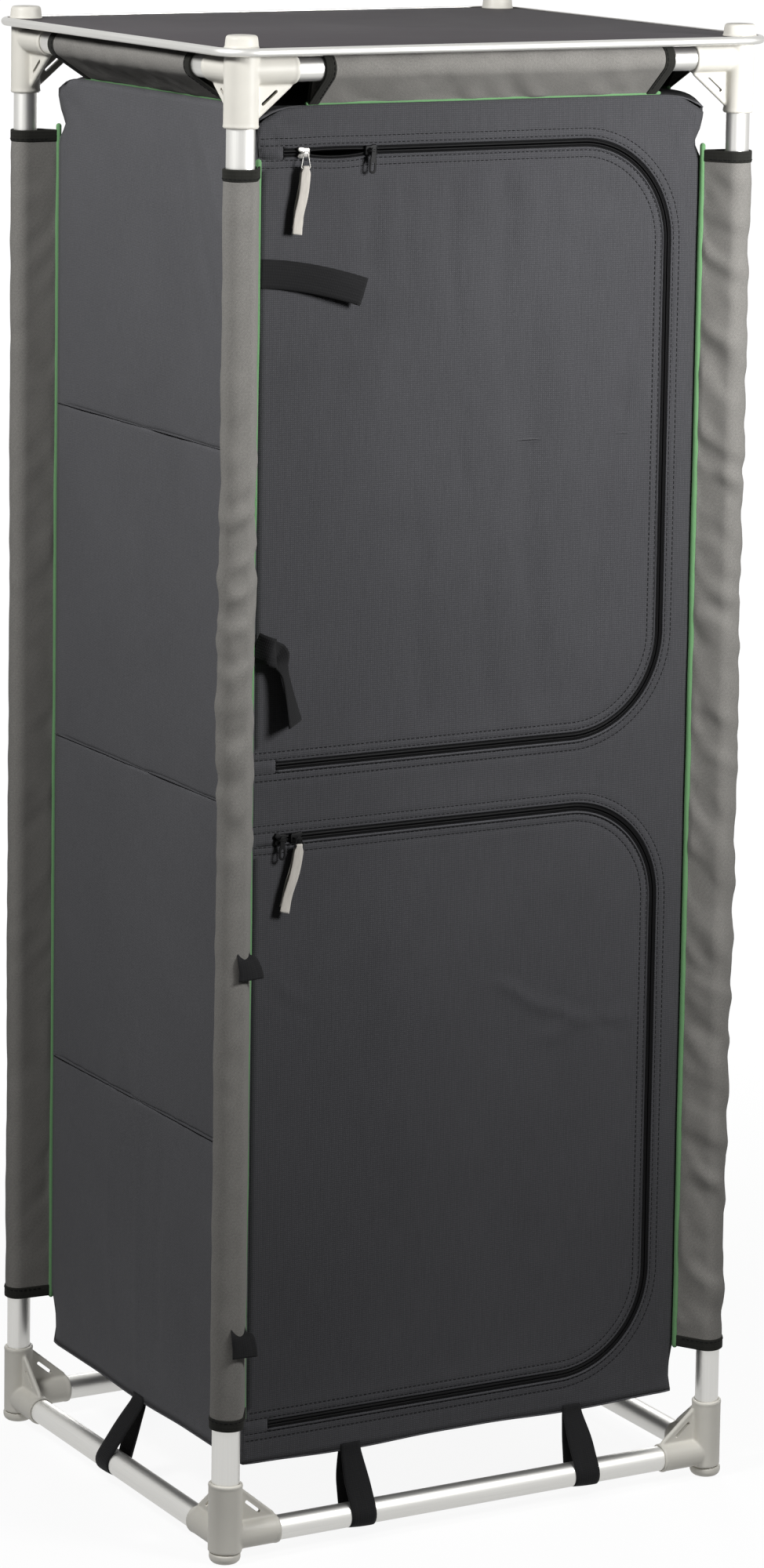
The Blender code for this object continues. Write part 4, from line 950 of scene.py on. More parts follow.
class CUPBOARD_OT_walls(bpy.types.Operator):
    """Back, side walls, roof and floor of the sewn body"""

    bl_idname = "cupboard.walls"
    bl_label = "Walls, roof and floor"

    def execute(self, context):
        cloth, thick = look(plain_polyester), sizes().cloth
        side = WALL_Y - 0.0012
        rows = []
        for name, half, seed, crease, flat in (
            ("back", WALL_X, 21, None, (0.476, 1.217)),
            ("left", side, 31, -0.0060, (0.400, 1.217)),
            ("right", side, 41, None, (0.400, 1.217)),
        ):
            quarter, _, plane, loops = SIDES[name]
            mesh = wall(half, quarter, plane, loops, seed, crease)
            made = piece(f"{name}_wall", mesh, cloth, "cupboard", [f"{name}_panel"], thick)
            across = np.arange(-half + 0.002, half - 0.002, 0.004)
            turn = np.array(quarter_turn(quarter, 3))
            for shelf in SHELVES:
                level = np.full_like(across, shelf)
                line = np.stack([across, -plane - wall_out(across, level, half, seed) - 0.0001, level], 1)
                rows.append((line @ turn.T, np.tile(turn @ (0, -1, 0), (len(line), 1))))
        x, y = np.meshgrid(np.linspace(-WALL_X, WALL_X, 65), np.linspace(-WALL_Y, WALL_Y, 55))
        dx, dy = WALL_X - np.abs(x), WALL_Y - np.abs(y)
        edge = np.minimum(dx, dy)
        ripple = 0.0012 * lumps(x, y, 0.05, 0.05, 51) * ease(edge / 0.02)
        z = WALL_TOP - shoulder(np.hypot(dx, dy)) - 0.005 * ease(edge / 0.09) + ripple
        pull = drawn_in(z)
        px = np.sign(x) * (np.abs(x) - pull * ease(1 - dx / 0.03))
        py = np.sign(y) * (np.abs(y) - pull * ease(1 - dy / 0.03))
        mesh = facing(grid(np.stack([px, py, z], -1)), (0, 0, 1))
        roof = piece("roof", mesh, cloth, "cupboard", ["roof_panel"], thick)
        z = np.where(dy < dx, bottom_edge(x, FRONT_LOOPS), bottom_edge(y, (SIDE_LOOP,)))
        z = WALL_BOTTOM - 0.0004 + (z - WALL_BOTTOM) * ease(1 - edge / 0.03) - 0.0016 * ease(edge / 0.12)
        pull = drawn_in(z) * ease(1 - dx / 0.012) * ease(1 - dy / 0.012)
        px, py = np.sign(x) * (np.abs(x) - pull), np.sign(y) * (np.abs(y) - pull)
        mesh = facing(grid(np.stack([px, py, z], -1)), (0, 0, -1))
        floor = piece("body_floor", mesh, cloth, "cupboard", ["floor_panel"], 0.0014, 1.0)
        piece("wall_stitches", sewn(rows), look(polyester_thread), "cupboard")
        return {"FINISHED"}


def stitch_row(door, offset, start):
    """Line of stitches beside a zip, on the relief of the front."""
    line = zip_offset(door, offset, 0.003, start)
    places = front_points(*line.T, front_out(*line.T) + 0.00015)
    return places, np.tile((0.0, -1.0, 0.0), (len(line), 1))


class CUPBOARD_OT_front(bpy.types.Operator):
    """Front wall, both doors, and the zips, hems and stitching between them"""

    bl_idname = "cupboard.front"
    bl_label = "Front, doors and zips"

    def execute(self, context):
        edge, cloth = sizes().zip_edge, look(grid_polyester)
        outline, holes, lines, hems = self.outline(), [], [], []
        for door, (_, _, low, high) in DOORS.items():
            rim = [tuple(p) for p in zip_offset(door, edge, 0.004)]
            notch = edge + 0.0004
            hinge = [(CLOTH_HINGE, low + notch), (CLOTH_HINGE, high - notch)]
            holes.append(dense([*hinge, (ZIP_START, high - notch), *rim, (ZIP_START, low + notch)], 0.006))
            lines += [zip_offset(door, offset, start=SEAM_START) for offset in HEM_LINES]
            hems.append(zip_ribbon(door, HEM_ACROSS + edge, HEM_OUT))
        mesh = gaping(welded(cut_cloth(outline, holes, lines), *hems), "upper", False)
        made = piece("front_wall", mesh, cloth, "cupboard", ["front_panel"], sizes().cloth)
        rows = [stitch_row(door, offset, SEAM_START) for door in DOORS for offset in HEM_ROWS]
        mesh = gaping(sewn(rows), "upper", False)
        piece("front_stitches", mesh, look(polyester_thread), "cupboard")
        for door, (_, _, low, high) in DOORS.items():
            body = f"{door}_door"
            loop = dense([tuple(p) for p in zip_offset(door, -edge, 0.004, CLOTH_HINGE)], 0.006)
            lines = [zip_offset(door, -offset, start=CLOTH_HINGE + 0.001) for offset in HEM_LINES]
            hem = zip_ribbon(door, -HEM_ACROSS - edge, HEM_OUT)
            mesh = gaping(welded(cut_cloth(loop, [], lines), hem), door, True)
            flap = piece(body + "_cloth", mesh, cloth, None, [body], sizes().cloth)
            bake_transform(flap)
            mesh = gaping(sewn([stitch_row(door, -offset, CLOTH_HINGE) for offset in HEM_ROWS]), door, True)
            sewing = piece(body + "_stitches", mesh, look(polyester_thread), None)
            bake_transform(sewing)
            self.add_zip(door, body)
        return {"FINISHED"}

    def outline(self):
        """Edge of the front wall, round its lower, right, upper and left side."""
        across = np.linspace(-1, 1, 92)
        lower = []
        for a in across:
            half = WALL_X - float(drawn_in(WALL_BOTTOM, front_left(a < 0)))
            lower.append((a * half, float(bottom_edge(a * WALL_X, FRONT_LOOPS))))
        upper = [(a * (WALL_X - 0.0048), float(WALL_TOP - shoulder(WALL_X * (1 - abs(a))))) for a in across]
        up = np.arange(WALL_BOTTOM + 0.004, WALL_TOP - 0.014, 0.005)
        right = [(WALL_X - float(drawn_in(z)), z) for z in up]
        left = [(float(drawn_in(z, front_left(True))) - WALL_X, z) for z in up]
        return lower + right + upper[::-1] + left[::-1]

    def add_zip(self, door, body):
        """Knitted tapes and coil of one zip, half on the wall and half on the door."""
        tape, tape_out = np.array([(2.2, 0.25), (3.4, 0.0), (4.6, -0.2), (6.2, -0.5)]).T * MM
        coil, coil_out = np.array([(0.25, -0.1), (0.5, 0.7), (1.0, 1.0), (1.6, 0.95), (2.2, 0.5), (2.6, 0.1)]).T * MM
        for side, owner, name in ((1, "cupboard", f"{door}_zip_wall"), (-1, body, f"{door}_zip_door")):
            tape_mesh = gaping(zip_ribbon(door, side * tape, tape_out), door, side < 0)
            coil_mesh = gaping(zip_ribbon(door, side * coil, coil_out, 0.0008, 0.38), door, side < 0)
            piece(name + "_tape", tape_mesh, look(knitted_zip_tape), owner, thickness=0.0006)
            piece(name + "_coil", coil_mesh, look(nylon_coil), owner, thickness=0.0006)


# Tunnels

POST_OVAL = (0.0252, 0.0210)  # long and short axis of a post
SLEEVE_OVAL = (0.0292, 0.0252)  # the same of the cloth round it
SEAM_TIP = 0.0008  # radius of the cloth's turn at its seam


def oval_points(wide, narrow, quarter=0, sides=72):
    """Outline of a post's oval, its long axis across the corner."""
    t, angle = np.arange(sides) * 2 * math.pi / sides, quarter * math.pi / 2 - math.pi / 4
    u, v = wide / 2 * np.cos(t), narrow / 2 * np.sin(t)
    return np.stack([u * math.cos(angle) - v * math.sin(angle), u * math.sin(angle) + v * math.cos(angle)], 1)


def drawn_round(core, seam):
    """Outline of cloth drawn round a tube and down to its seam, from the seam round and back, and the ways out."""
    seam, count = np.asarray(seam, float), 60
    cloud = np.vstack([core, seam + ring_points(SEAM_TIP, 8)])
    hull = cloud[geometry.convex_hull_2d([Vector(p) for p in cloud])]
    area = np.cross(hull, np.roll(hull, -1, axis=0)).sum()
    if area < 0:
        hull = hull[::-1]
    hull = np.roll(hull, -int(np.argmax(hull @ seam)), axis=0)
    loop = np.vstack([hull, hull[:1]])
    along = measured(loop)
    places = np.linspace(0, along[-1], count + 1)[:-1]
    line = np.stack([np.interp(places, along, loop[:, k]) for k in (0, 1)], 1)
    ahead = headings(line, closed=True)
    return line, np.stack([ahead[:, 1], -ahead[:, 0]], 1), places, along[-1]


def tunnel(core, seam, places, at, seed, slack):
    """Sleeve of cloth with creases, from its outline and a function that carries (p, q, s) into place."""
    line, away, u, round_it = drawn_round(core, seam)
    near = np.minimum(u, round_it - u)
    deep = sizes().crumple
    rows = []
    for s in places:
        hold = ease(min(s - places[0], places[-1] - s) / 0.022 - 0.35) * slack(s)
        level = np.full_like(u, s)
        wide, fine = lumps(u, level, 0.024, 0.070, seed), lumps(u + 0.5 * s, level, 0.017, 0.021, seed + 1)
        dents = lumps(u, level - 0.35 * np.abs(u - round_it / 2), 0.042, 0.0135, seed + 3)
        out = 0.5 * wide + 0.4 * fine + 0.6 * min(slack(s), 1.0) * dents
        pulls = lumps(near, s + 0.9 * near, 0.05, 0.016, seed + 2) * np.exp(-near / 0.026)
        out = deep * (out + 0.12) + 0.0022 * pulls
        out = np.maximum(out * ease(near / 0.007) * hold, -0.0011)
        rows.append(at(*(line + away * out[:, None]).T, level))
    return facing(grid(rows, wrap=True))


def hem_tape(core, seam, end, way, at):
    """Dark tape folded over a tunnel's end, and the line of its stitches."""
    wide = sizes().hem
    line, away, *_ = drawn_round(core, seam)

    def ring(grow, share):
        """The tape's outline, grown outwards, at a share of its width from the end."""
        return at(*(line + away * grow).T, np.full(len(line), end + way * wide * share))

    # Millimetres out from the sleeve, and tenths of the tape's width from the end, from inside the fold to the edge
    folded = ((-1, 1.5), (-1, -0.2), (0.2, -0.6), (0.75, -0.2), (0.85, 1), (0.8, 5), (0.85, 9), (0.6, 9.8), (0.1, 10))
    rows = [ring(grow * MM, tenths / 10) for grow, tenths in folded]
    sewn_at = 0.78
    place = ring(0.00095, sewn_at)
    out = ring(0.01, sewn_at) - place
    out /= np.linalg.norm(out, axis=1, keepdims=True)
    return facing(grid(rows, wrap=True)), (place[4:-4], out[4:-4])


class CUPBOARD_OT_tunnels(bpy.types.Operator):
    """Sleeves round the posts and the top rails, with their hem tapes and green piping"""

    bl_idname = "cupboard.tunnels"
    bl_label = "Tunnels and piping"

    def execute(self, context):
        self.rows = []
        bead = sizes().post_piping
        inset_x, inset_y = HALF_X - WALL_X, HALF_Y - WALL_Y
        places = np.arange(TUNNEL_LOW.z + 0.004, TUNNEL_HIGH.z + 0.001, 0.0042)
        slack = {
            "front_left": lambda z: 0.3 + 1.0 * math.exp(-(((z - 0.82) / 0.17) ** 2)),
            "back_left": lambda z: 0.35,
        }
        for corner, (ex, ey, quarter) in CORNERS.items():
            seam = np.array([-ex * (inset_x + 0.0007), -ey * (inset_y - 0.0026)])
            core = oval_points(*SLEEVE_OVAL, quarter)
            at = lambda p, q, s, ex=ex, ey=ey: np.stack([ex * HALF_X + p, ey * HALF_Y + q, s], -1)
            tip = 0.0006 * np.array([ex, ey])
            tucked = 0.0011 + 0.0011 * lumps(places, 0, 0.11, 1, 60) if corner == "front_left" else 0.0
            sway = 0.0004 * lumps(places, 0, 0.05, 1, 61 + quarter)
            line = at(seam[0] - tucked + sway, np.full_like(places, seam[1]), places)
            line[-1][2] += 0.004
            flat, loose = (0.098, TUNNEL_HIGH.z - TUNNEL_LOW.z + 0.03), slack.get(corner, lambda z: 0.9)
            node, seed = f"post_tunnel_{corner}", 70 + 5 * quarter
            self.add(f"{corner}_tunnel", node, core, seam + tip, places, at, seed, line, bead, flat, loose)
        bead = sizes().rail_piping
        for side, (quarter, half, plane, _) in SIDES.items():
            node, seed = f"rail_tunnel_{side}", 90 + 5 * quarter
            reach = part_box(node)[1][quarter % 2]
            seam = np.array([half - plane + bead, RAIL_SEAM_Z - TOP_RAIL_Z])
            turn = np.array(quarter_turn(quarter, 3))
            at = lambda p, q, s, half=half, turn=turn: np.stack([s, p - half, TOP_RAIL_Z + q], -1) @ turn.T
            core = ring_points(RAIL_RADIUS + 0.0013, 72)
            places = np.linspace(-reach, reach, round(reach / 0.0021) + 1)
            along = np.linspace(-reach - 0.001, reach + 0.004, 90)
            line = at(seam[0] + 0 * along, seam[1] + 0.0005 * lumps(along, 0, 0.05, 1, 65 + quarter), along)
            flat = (0.102, 2 * reach + 0.02)
            self.add(f"{side}_tunnel", node, core, seam, places, at, seed, line, bead, flat, lambda s: 0.5)
        piece("tunnel_stitches", sewn(self.rows), look(polyester_thread), "cupboard")
        return {"FINISHED"}

    def add(self, name, node, core, seam, places, at, seed, line, bead, flat, slack):
        """One sleeve with the tapes at its ends and the piping in its seam."""
        mesh = tunnel(core, seam, places, at, seed, slack)
        sleeve = piece(name, mesh, look(melange_polyester), "cupboard", [node], 0.0007)
        for letter, end, way in (("a", places[0], 1), ("b", places[-1], -1)):
            mesh, row = hem_tape(core, seam, end, way, at)
            piece(f"{name}_hem_{letter}", mesh, look(grosgrain_tape), "cupboard")
            self.rows.append(row)
        hint = (1, 0, 0) if node.startswith("post") else (0, 0, 1)
        mesh = round_bar(line, bead, 12, hint=hint)
        cord = piece(name + "_piping", mesh, look(bias_piping), "cupboard")


# Frame


class CUPBOARD_OT_tubes(bpy.types.Operator):
    """Oval posts and round rails of drawn aluminium tube"""

    bl_idname = "cupboard.tubes"
    bl_label = "Posts and rails"

    def execute(self, context):
        metal, wall_thick = look(anodised_aluminium), 0.0012
        for corner, (ex, ey, quarter) in CORNERS.items():
            low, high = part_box(f"post_{corner}")
            outline = oval_points(*POST_OVAL, quarter) + (ex * HALF_X, ey * HALF_Y)
            rows = [np.column_stack([outline, np.full(len(outline), z)]) for z in np.linspace(low.z, high.z, 48)]
            mesh = facing(grid(rows, wrap=True))
            piece(f"{corner}_post", mesh, metal, "cupboard", [f"post_{corner}"], wall_thick)
        for level in ("top", "bottom"):
            for side in ("front", "back", "left", "right"):
                node = f"{level}_rail_{side}"
                low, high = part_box(node)
                middle = centre(node)
                k = SIDES[side][0] % 2
                sideways, up = ring_points(RAIL_RADIUS, 56).T
                rows = np.empty((30, 56, 3))
                rows[..., k] = np.linspace(low[k], high[k], 30)[:, None]
                rows[..., 1 - k], rows[..., 2] = middle[1 - k] + sideways, middle[2] + up
                mesh = facing(grid(rows, wrap=True))
                piece(f"{level}_{side}_rail", mesh, metal, "cupboard", [node], wall_thick)
        return {"FINISHED"}


def closed(mesh):
    """The same mesh with its open ends filled and its faces turned out."""
    bm = bmesh.new()
    bm.from_mesh(mesh)
    bmesh.ops.holes_fill(bm, edges=bm.edges, sides=0)
    bmesh.ops.recalc_face_normals(bm, faces=bm.faces)
    bm.to_mesh(mesh)
    bm.free()
    return mesh


def closed_lathe(profile, sides):
    """Turned solid with flat ends."""
    return closed(lathe(profile, sides))


def oval_solid(wide, narrow, low, high, edge=0.0):
    """Upright solid with a post's oval outline, its edges taken off where that is asked."""
    levels = ((low, edge), (low + edge, 0), (high - edge, 0), (high, edge)) if edge else ((low, 0), (high, 0))
    rows = []
    for z, less in levels:
        outline = oval_points(wide - 2 * less, narrow - 2 * less, sides=96)
        rows.append(np.column_stack([outline, np.full(96, z)]))
    return closed(grid(rows, wrap=True))


def carved(mesh, cutters, sharp, grain=0.0, smoothing=0):
    """A mesh less its cutters. Where a grain is given, its shells are first made one and its inner corners rounded."""
    made = placed("carved", mesh)
    spare = [made]
    if grain:
        fine = made.modifiers.new("grain", "REMESH")
        fine.mode, fine.voxel_size, fine.adaptivity = "VOXEL", grain, 0.0
        soft = made.modifiers.new("rounding", "SMOOTH")
        soft.factor, soft.iterations = 0.5, smoothing
    for cutter in cutters:
        tool = placed("cutter", cutter)
        spare.append(tool)
        cut = made.modifiers.new("cut", "BOOLEAN")
        cut.operation, cut.solver, cut.object = "DIFFERENCE", "EXACT", tool
    mesh = bpy.data.meshes.new_from_object(made.evaluated_get(bpy.context.evaluated_depsgraph_get()))
    for thing in spare:
        bpy.data.objects.remove(thing)
    mesh.shade_smooth()
    mesh.set_sharp_from_angle(angle=math.radians(sharp))
    return mesh


class CUPBOARD_OT_connectors(bpy.types.Operator):
    """Corner connectors: one moulding at all eight corners, turned over at the bottom"""

    bl_idname = "cupboard.connectors"
    bl_label = "Corner connectors"

    def execute(self, context):
        down, tall = FRAME_TOP - TOP_RAIL_Z, 0.0625
        barrel = oval_solid(0.0304, 0.0262, -tall, 0, 0.0009)
        collar = oval_solid(0.0312, 0.0270, -tall + 0.0006, -tall + 0.0032, 0.0006)
        bore = oval_solid(0.0258, 0.0216, -tall - 0.005, -0.0040)
        plug_hole = closed_lathe([(0.0043, -0.010), (0.0043, 0.005)], 32)
        shells, cutters = [barrel, collar], [bore, plug_hole]
        for quarter in (0, 1):
            turn = quarter_turn(quarter)
            lie = turn @ Matrix.Translation((0, 0, -down)) @ Matrix.Rotation(math.pi / 2, 4, "Y")
            arm = closed_lathe([(0.0126, 0), (0.0126, 0.0499), (0.0120, 0.0505)], 80)
            mouth = closed_lathe([(0.0124, 0.0466), (0.0130, 0.0472), (0.0130, 0.0498), (0.0124, 0.0505)], 80)
            shells += [carried(arm, lie), carried(mouth, lie)]
            socket = closed_lathe([(0.0113, 0.0145), (0.0113, 0.056)], 80)
            cutters.append(carried(socket, lie))
            stand = turn @ UPRIGHT
            high, low = Vector((0.0475, -down - 0.0126)), Vector((0.0128, -0.0545))
            high_y, low_y = high.y - 0.0015, low.y - 0.0015
            web = [(0, -down), (high.x, -down), (high.x, high_y), (low.x, low_y), (0, low_y)]
            web_half = 0.0018
            shells.append(carried(plate(web, -web_half, web_half, 0), stand))
            along = (low - high).normalized()
            inward = Vector((along.y, -along.x)) * (-1 if along.y > 0 else 1)
            inward = -inward if inward.x > 0 else inward
            bead = [high.lerp(low, t) + inward * 0.0009 for t in (0.02, 0.98)]
            bar = round_bar([(p.x, 0, p.y - 0.0014) for p in bead], 0.0023, 14, hint=(0, 1, 0))
            shells.append(carried(closed(bar), turn))
            middle = high.lerp(low, 0.52) + inward * 0.0049
            round_end, slot = 0.00145, []
            for side in (1, -1):
                for a in np.linspace(-math.pi / 2, math.pi / 2, 9):
                    far = side * 0.00805 + round_end * math.cos(a) * side
                    slot.append(middle + along * far + inward * (round_end * math.sin(a) * side))
            cutters.append(carried(plate(slot, -0.006, 0.006, 0), stand))
        mesh = carved(welded(*shells), cutters, 42, 0.0010, 4)
        over = Matrix.Rotation(math.pi, 4, "X")
        for corner, (ex, ey, quarter) in CORNERS.items():
            for level, z, turn in (
                ("top", FRAME_TOP, quarter_turn(quarter)),
                ("bottom", FRAME_BOTTOM, quarter_turn(quarter + 1) @ over),
            ):
                made = carried(mesh.copy(), Matrix.Translation((ex * HALF_X, ey * HALF_Y, z)) @ turn)
                name, node = f"{level}_{corner}_connector", f"{level}_connector_{corner}"
                piece(name, made, look(moulded_nylon), "cupboard", [node])
        return {"FINISHED"}


def turned(profile, node, z, sides=56, sharp=50):
    """Turned part from a profile in millimetres, upright on the middle of a node."""
    x, y, _ = centre(node)
    mesh = carried(facing(lathe(profile, sides)), Matrix.Translation((x, y, z)) @ Matrix.Scale(MM, 4))
    if sharp:
        mesh.set_sharp_from_angle(angle=math.radians(sharp))
    return mesh


class CUPBOARD_OT_feet(bpy.types.Operator):
    """Levelling feet: moulded pads on threaded studs"""

    bl_idname = "cupboard.feet"
    bl_label = "Levelling feet"

    def execute(self, context):
        pad = [(0, 0), (8.6, 0), (9.6, 0.15), (11.4, 0.9), (12.9, 2.3), (13.75, 4.2), (13.95, 5.4), (13.95, 7.7)]
        pad += [(13.7, 8.4), (13.1, 8.85), (12.2, 9.0), (6.4, 9.0), (6.1, 8.8), (4.0, 8.8)]
        stud = [(0.0, 8.0), (3.9, 8.0)]
        crest, root, pitch = 4.0, 3.45, 1.05
        for turn in range(20):
            stud += [(r, z + turn * pitch) for r, z in ((crest, 9.2), (crest, 9.5), (root, 9.8), (root, 10.0))]
        stud += [(3.9, 30.1), (3.1, 30.95), (0.0, 31.0)]
        for corner in CORNERS:
            body = f"foot_{corner}"
            mesh = turned(pad, body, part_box(body)[0].z)
            piece(f"{corner}_foot", mesh, look(moulded_nylon), body, [body])
            mesh = turned(stud, body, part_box(body)[0].z, 32, None)
            piece(f"{corner}_stud", mesh, look(zinc_plated_steel), body)
        return {"FINISHED"}


# Table


def round_corners(half_x, half_y, radius, turns=14):
    """Outline of a rectangle with round corners, and the ways out of it."""
    points, away = [], []
    for ex, ey, start in ((1, 1, 0), (-1, 1, 1), (-1, -1, 2), (1, -1, 3)):
        for a in (start + np.linspace(0, 1, turns)) * math.pi / 2:
            way = np.array([math.cos(a), math.sin(a)])
            points.append((ex * (half_x - radius), ey * (half_y - radius)) + way * radius)
            away.append(way)
    return np.array(points), np.array(away)


class CUPBOARD_OT_table(bpy.types.Operator):
    """Table board, its aluminium rim, and the four plugs that pin it down"""

    bl_idname = "cupboard.table"
    bl_label = "Table top"

    def execute(self, context):
        outline, _ = round_corners(BOARD_HIGH.x, BOARD_HIGH.y, 0.0292)
        board = plate([tuple(p) for p in outline], BOARD_LOW.z, BOARD_HIGH.z, 0.0004)
        piece("board", board, look(melamine_board), "table_top", ["table_board"])
        high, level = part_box("table_rim")[1], centre("table_rim")[2]
        nose, lip, groove = 0.0037, -0.0057, 0.00272  # half the rim's height, its inner edge, half its groove
        turn = np.linspace(-math.pi / 2, math.pi / 2, 13)
        profile = [(lip + 0.0004, -nose), *((-nose + nose * math.cos(a), nose * math.sin(a)) for a in turn)]
        profile += [(lip + 0.0004, nose), (lip, 0.0034), (lip, groove), (-0.0028, groove), (-0.0028, -groove)]
        profile += [(lip, -groove), (lip, -0.0034)]
        path, away = round_corners(high.x, high.y, 0.0320, 18)
        rows = []
        for point, way in zip([*path, path[0]], [*away, away[0]]):
            rows.append([(point[0] + way[0] * o, point[1] + way[1] * o, level + z) for o, z in profile])
        rim = facing(grid(rows, wrap=True))
        rim.set_sharp_from_angle(angle=math.radians(48))
        piece("rim", rim, look(anodised_aluminium), "table_top", ["table_rim"])
        cap = [(0, 11.0), (10.6, 11.0), (11.9, 10.8), (12.9, 10.1), (13.5, 9.0), (13.8, 7.5), (14.35, 2.2)]
        cap += [(14.5, 1.4), (14.95, 1.0), (15.0, 0.4), (14.8, 0), (4.0, 0), (4.0, -16.0), (3.0, -17.0), (0, -17.0)]
        for corner in CORNERS:
            node = f"table_plug_{corner}"
            mesh = turned(cap, node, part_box(node)[1].z - 0.011, 64)
            piece(f"{corner}_plug", mesh, look(moulded_nylon), "table_top", [node])
        return {"FINISHED"}


# Inside and loops


class CUPBOARD_OT_shelves(bpy.types.Operator):
    """Three stiff shelves in cloth sleeves"""

    bl_idname = "cupboard.shelves"
    bl_label = "Shelves"

    def execute(self, context):
        for name in ("lower", "middle", "upper"):
            low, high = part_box(f"shelf_{name}")
            half_x, half_y = high.x - 0.0004, high.y - 0.0004
            x, y = np.meshgrid(np.linspace(-half_x, half_x, 56), np.linspace(-half_y, half_y, 48))
            near = np.minimum(half_x - np.abs(x), half_y - np.abs(y))
            sag = -0.0007 * ease(near / 0.15) + 0.00025 * lumps(x, y, 0.04, 0.04, 11)
            faces = []
            for z, way in ((high.z, 1), (low.z, -1)):
                rounded = z - way * 0.0002 + sag - way * 0.0014 * ease(1 - near / 0.0016)
                faces.append(facing(grid(np.stack([x, y, rounded], -1)), (0, 0, way)))
            bm = bmesh.new()
            bm.from_mesh(welded(*faces))
            bmesh.ops.bridge_loops(bm, edges=[e for e in bm.edges if e.is_boundary])
            bmesh.ops.recalc_face_normals(bm, faces=bm.faces)
            mesh = bpy.data.meshes.new("shelf")
            bm.to_mesh(mesh)
            bm.free()
            mesh.shade_smooth()
            piece(f"{name}_shelf", mesh, look(shelf_cloth), "cupboard", [f"shelf_{name}"])
        return {"FINISHED"}


class CUPBOARD_OT_loops(bpy.types.Operator):
    """Webbing loops that hold the body down to the bottom rails"""

    bl_idname = "cupboard.loops"
    bl_label = "Webbing loops"

    def execute(self, context):
        wide, thick = sizes().webbing, sizes().webbing_thickness
        reach = RAIL_RADIUS + thick / 2 + 0.0002
        round_rail = np.linspace(math.radians(160), math.radians(358), 20)
        for side, (quarter, half, plane, places) in SIDES.items():
            for k, along in enumerate(places):
                out, up = -(plane - 0.0016), WALL_BOTTOM + 0.004
                rail = np.array([-half, LOW_RAIL_Z])
                line = [(out - 0.0016, up), (out - 0.0018, up - 0.006)]
                line += [rail + reach * np.array([math.cos(a), math.sin(a)]) for a in round_rail]
                line += [(out + 0.0006, up - 0.008), (out + 0.0004, up)]
                line = smoothed(spaced(line, 0.0030), 3)
                t = np.linspace(0, 1, len(line))
                low_share = ease((up - line[:, 1]) / 0.035)
                drift = along + (0.0016 * (1 - low_share) + 0.0008 * np.sin(5 * t)) * (-1 if k else 1)
                path = np.column_stack([drift, line])
                twist = 0.10 * np.sin(7 * t + k) * (1 - low_share)
                across = np.column_stack([np.ones(len(t)), twist, 0.06 * np.cos(6 * t + quarter)])
                width = wide * (0.78 + 0.21 * low_share)
                mesh = carried(strap(path, across, width, 9, 0.0004), quarter_turn(quarter))
                name, web = f"{side}_loop_{'ab'[k]}", look(polypropylene_webbing)
                made = piece(name, mesh, web, "cupboard", thickness=thick, offset=0.0)
        return {"FINISHED"}


# Zip hardware


def slider_mesh(long):
    """Zip slider with its bridge, lying along X with its front towards -Y, its back on Y = 0."""
    mouth, tail, high = 0.0049, 0.0041, 0.0028
    end = long / 2
    outline = [(-end, tail * 0.72), (-end + 0.0012, tail), (-0.0005, tail * 1.02), (0.0018, mouth)]
    outline += [(end - 0.0015, mouth), (end, mouth * 0.66), (end - 0.0012, 0.0011), (end - 0.0030, 0.0)]
    outline += [(x, -z) for x, z in outline[-2::-1]]
    body = plate(outline, 0, high, 0.0006)
    top = high + 0.0044
    half = [(-0.0040, high - 0.0006), (-0.0040, high + 0.0008), (-0.0032, top - 0.0016), (-0.0020, top - 0.0007)]
    arch = [*half, (0, top - 0.0006), *((-x, z) for x, z in half[::-1])]
    arch = smoothed(spaced([(x, 0, z) for x, z in arch], 0.0005), 4)
    bridge = strap(arch, np.tile((0.0, 1.0, 0.0), (len(arch), 1)), 0.0018, 5)
    return body, bridge


class CUPBOARD_OT_sliders(bpy.types.Operator):
    """Four zip sliders, one nickel plated and three enamelled black, one of these with its pull"""

    bl_idname = "cupboard.sliders"
    bl_label = "Zip sliders"

    def execute(self, context):
        for body, name, finish, slot, way in (
            ("upper_slider_silver", "silver_slider", nickel_plate, "zip_nickel", -1),
            ("upper_slider_black", "black_slider", black_enamel, "zip_black", 1),
            ("lower_slider_end", "end_slider", black_enamel, "zip_black", -1),
            ("lower_slider_lead", "lead_slider", black_enamel, "zip_black", 1),
        ):
            low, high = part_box(body)
            middle, back = centre(body)[0], high.y - 0.0002
            level = DOORS[body.split("_")[0]][3]
            shell, bridge = slider_mesh(high.x - low.x)
            stand = Matrix.Translation((middle, back, level)) @ UPRIGHT
            if way < 0:
                stand = stand @ Matrix.Rotation(math.pi, 4, "Z")
            made = piece(name, carried(shell, stand), look(finish), body, [body])
            mesh = carried(bridge, stand)
            arch = piece(name + "_bridge", mesh, look(finish), body, thickness=0.0011, offset=0.0)
            for thing in (made, arch):
                soft = thing.modifiers.new("rounding", "BEVEL")
                soft.width, soft.segments, soft.limit_method = 0.0002, 2, "ANGLE"
            if body == "lower_slider_end":
                flat_pull("end_pull", middle, back - 0.0058, level, body, look(finish), 0.0180)
        return {"FINISHED"}


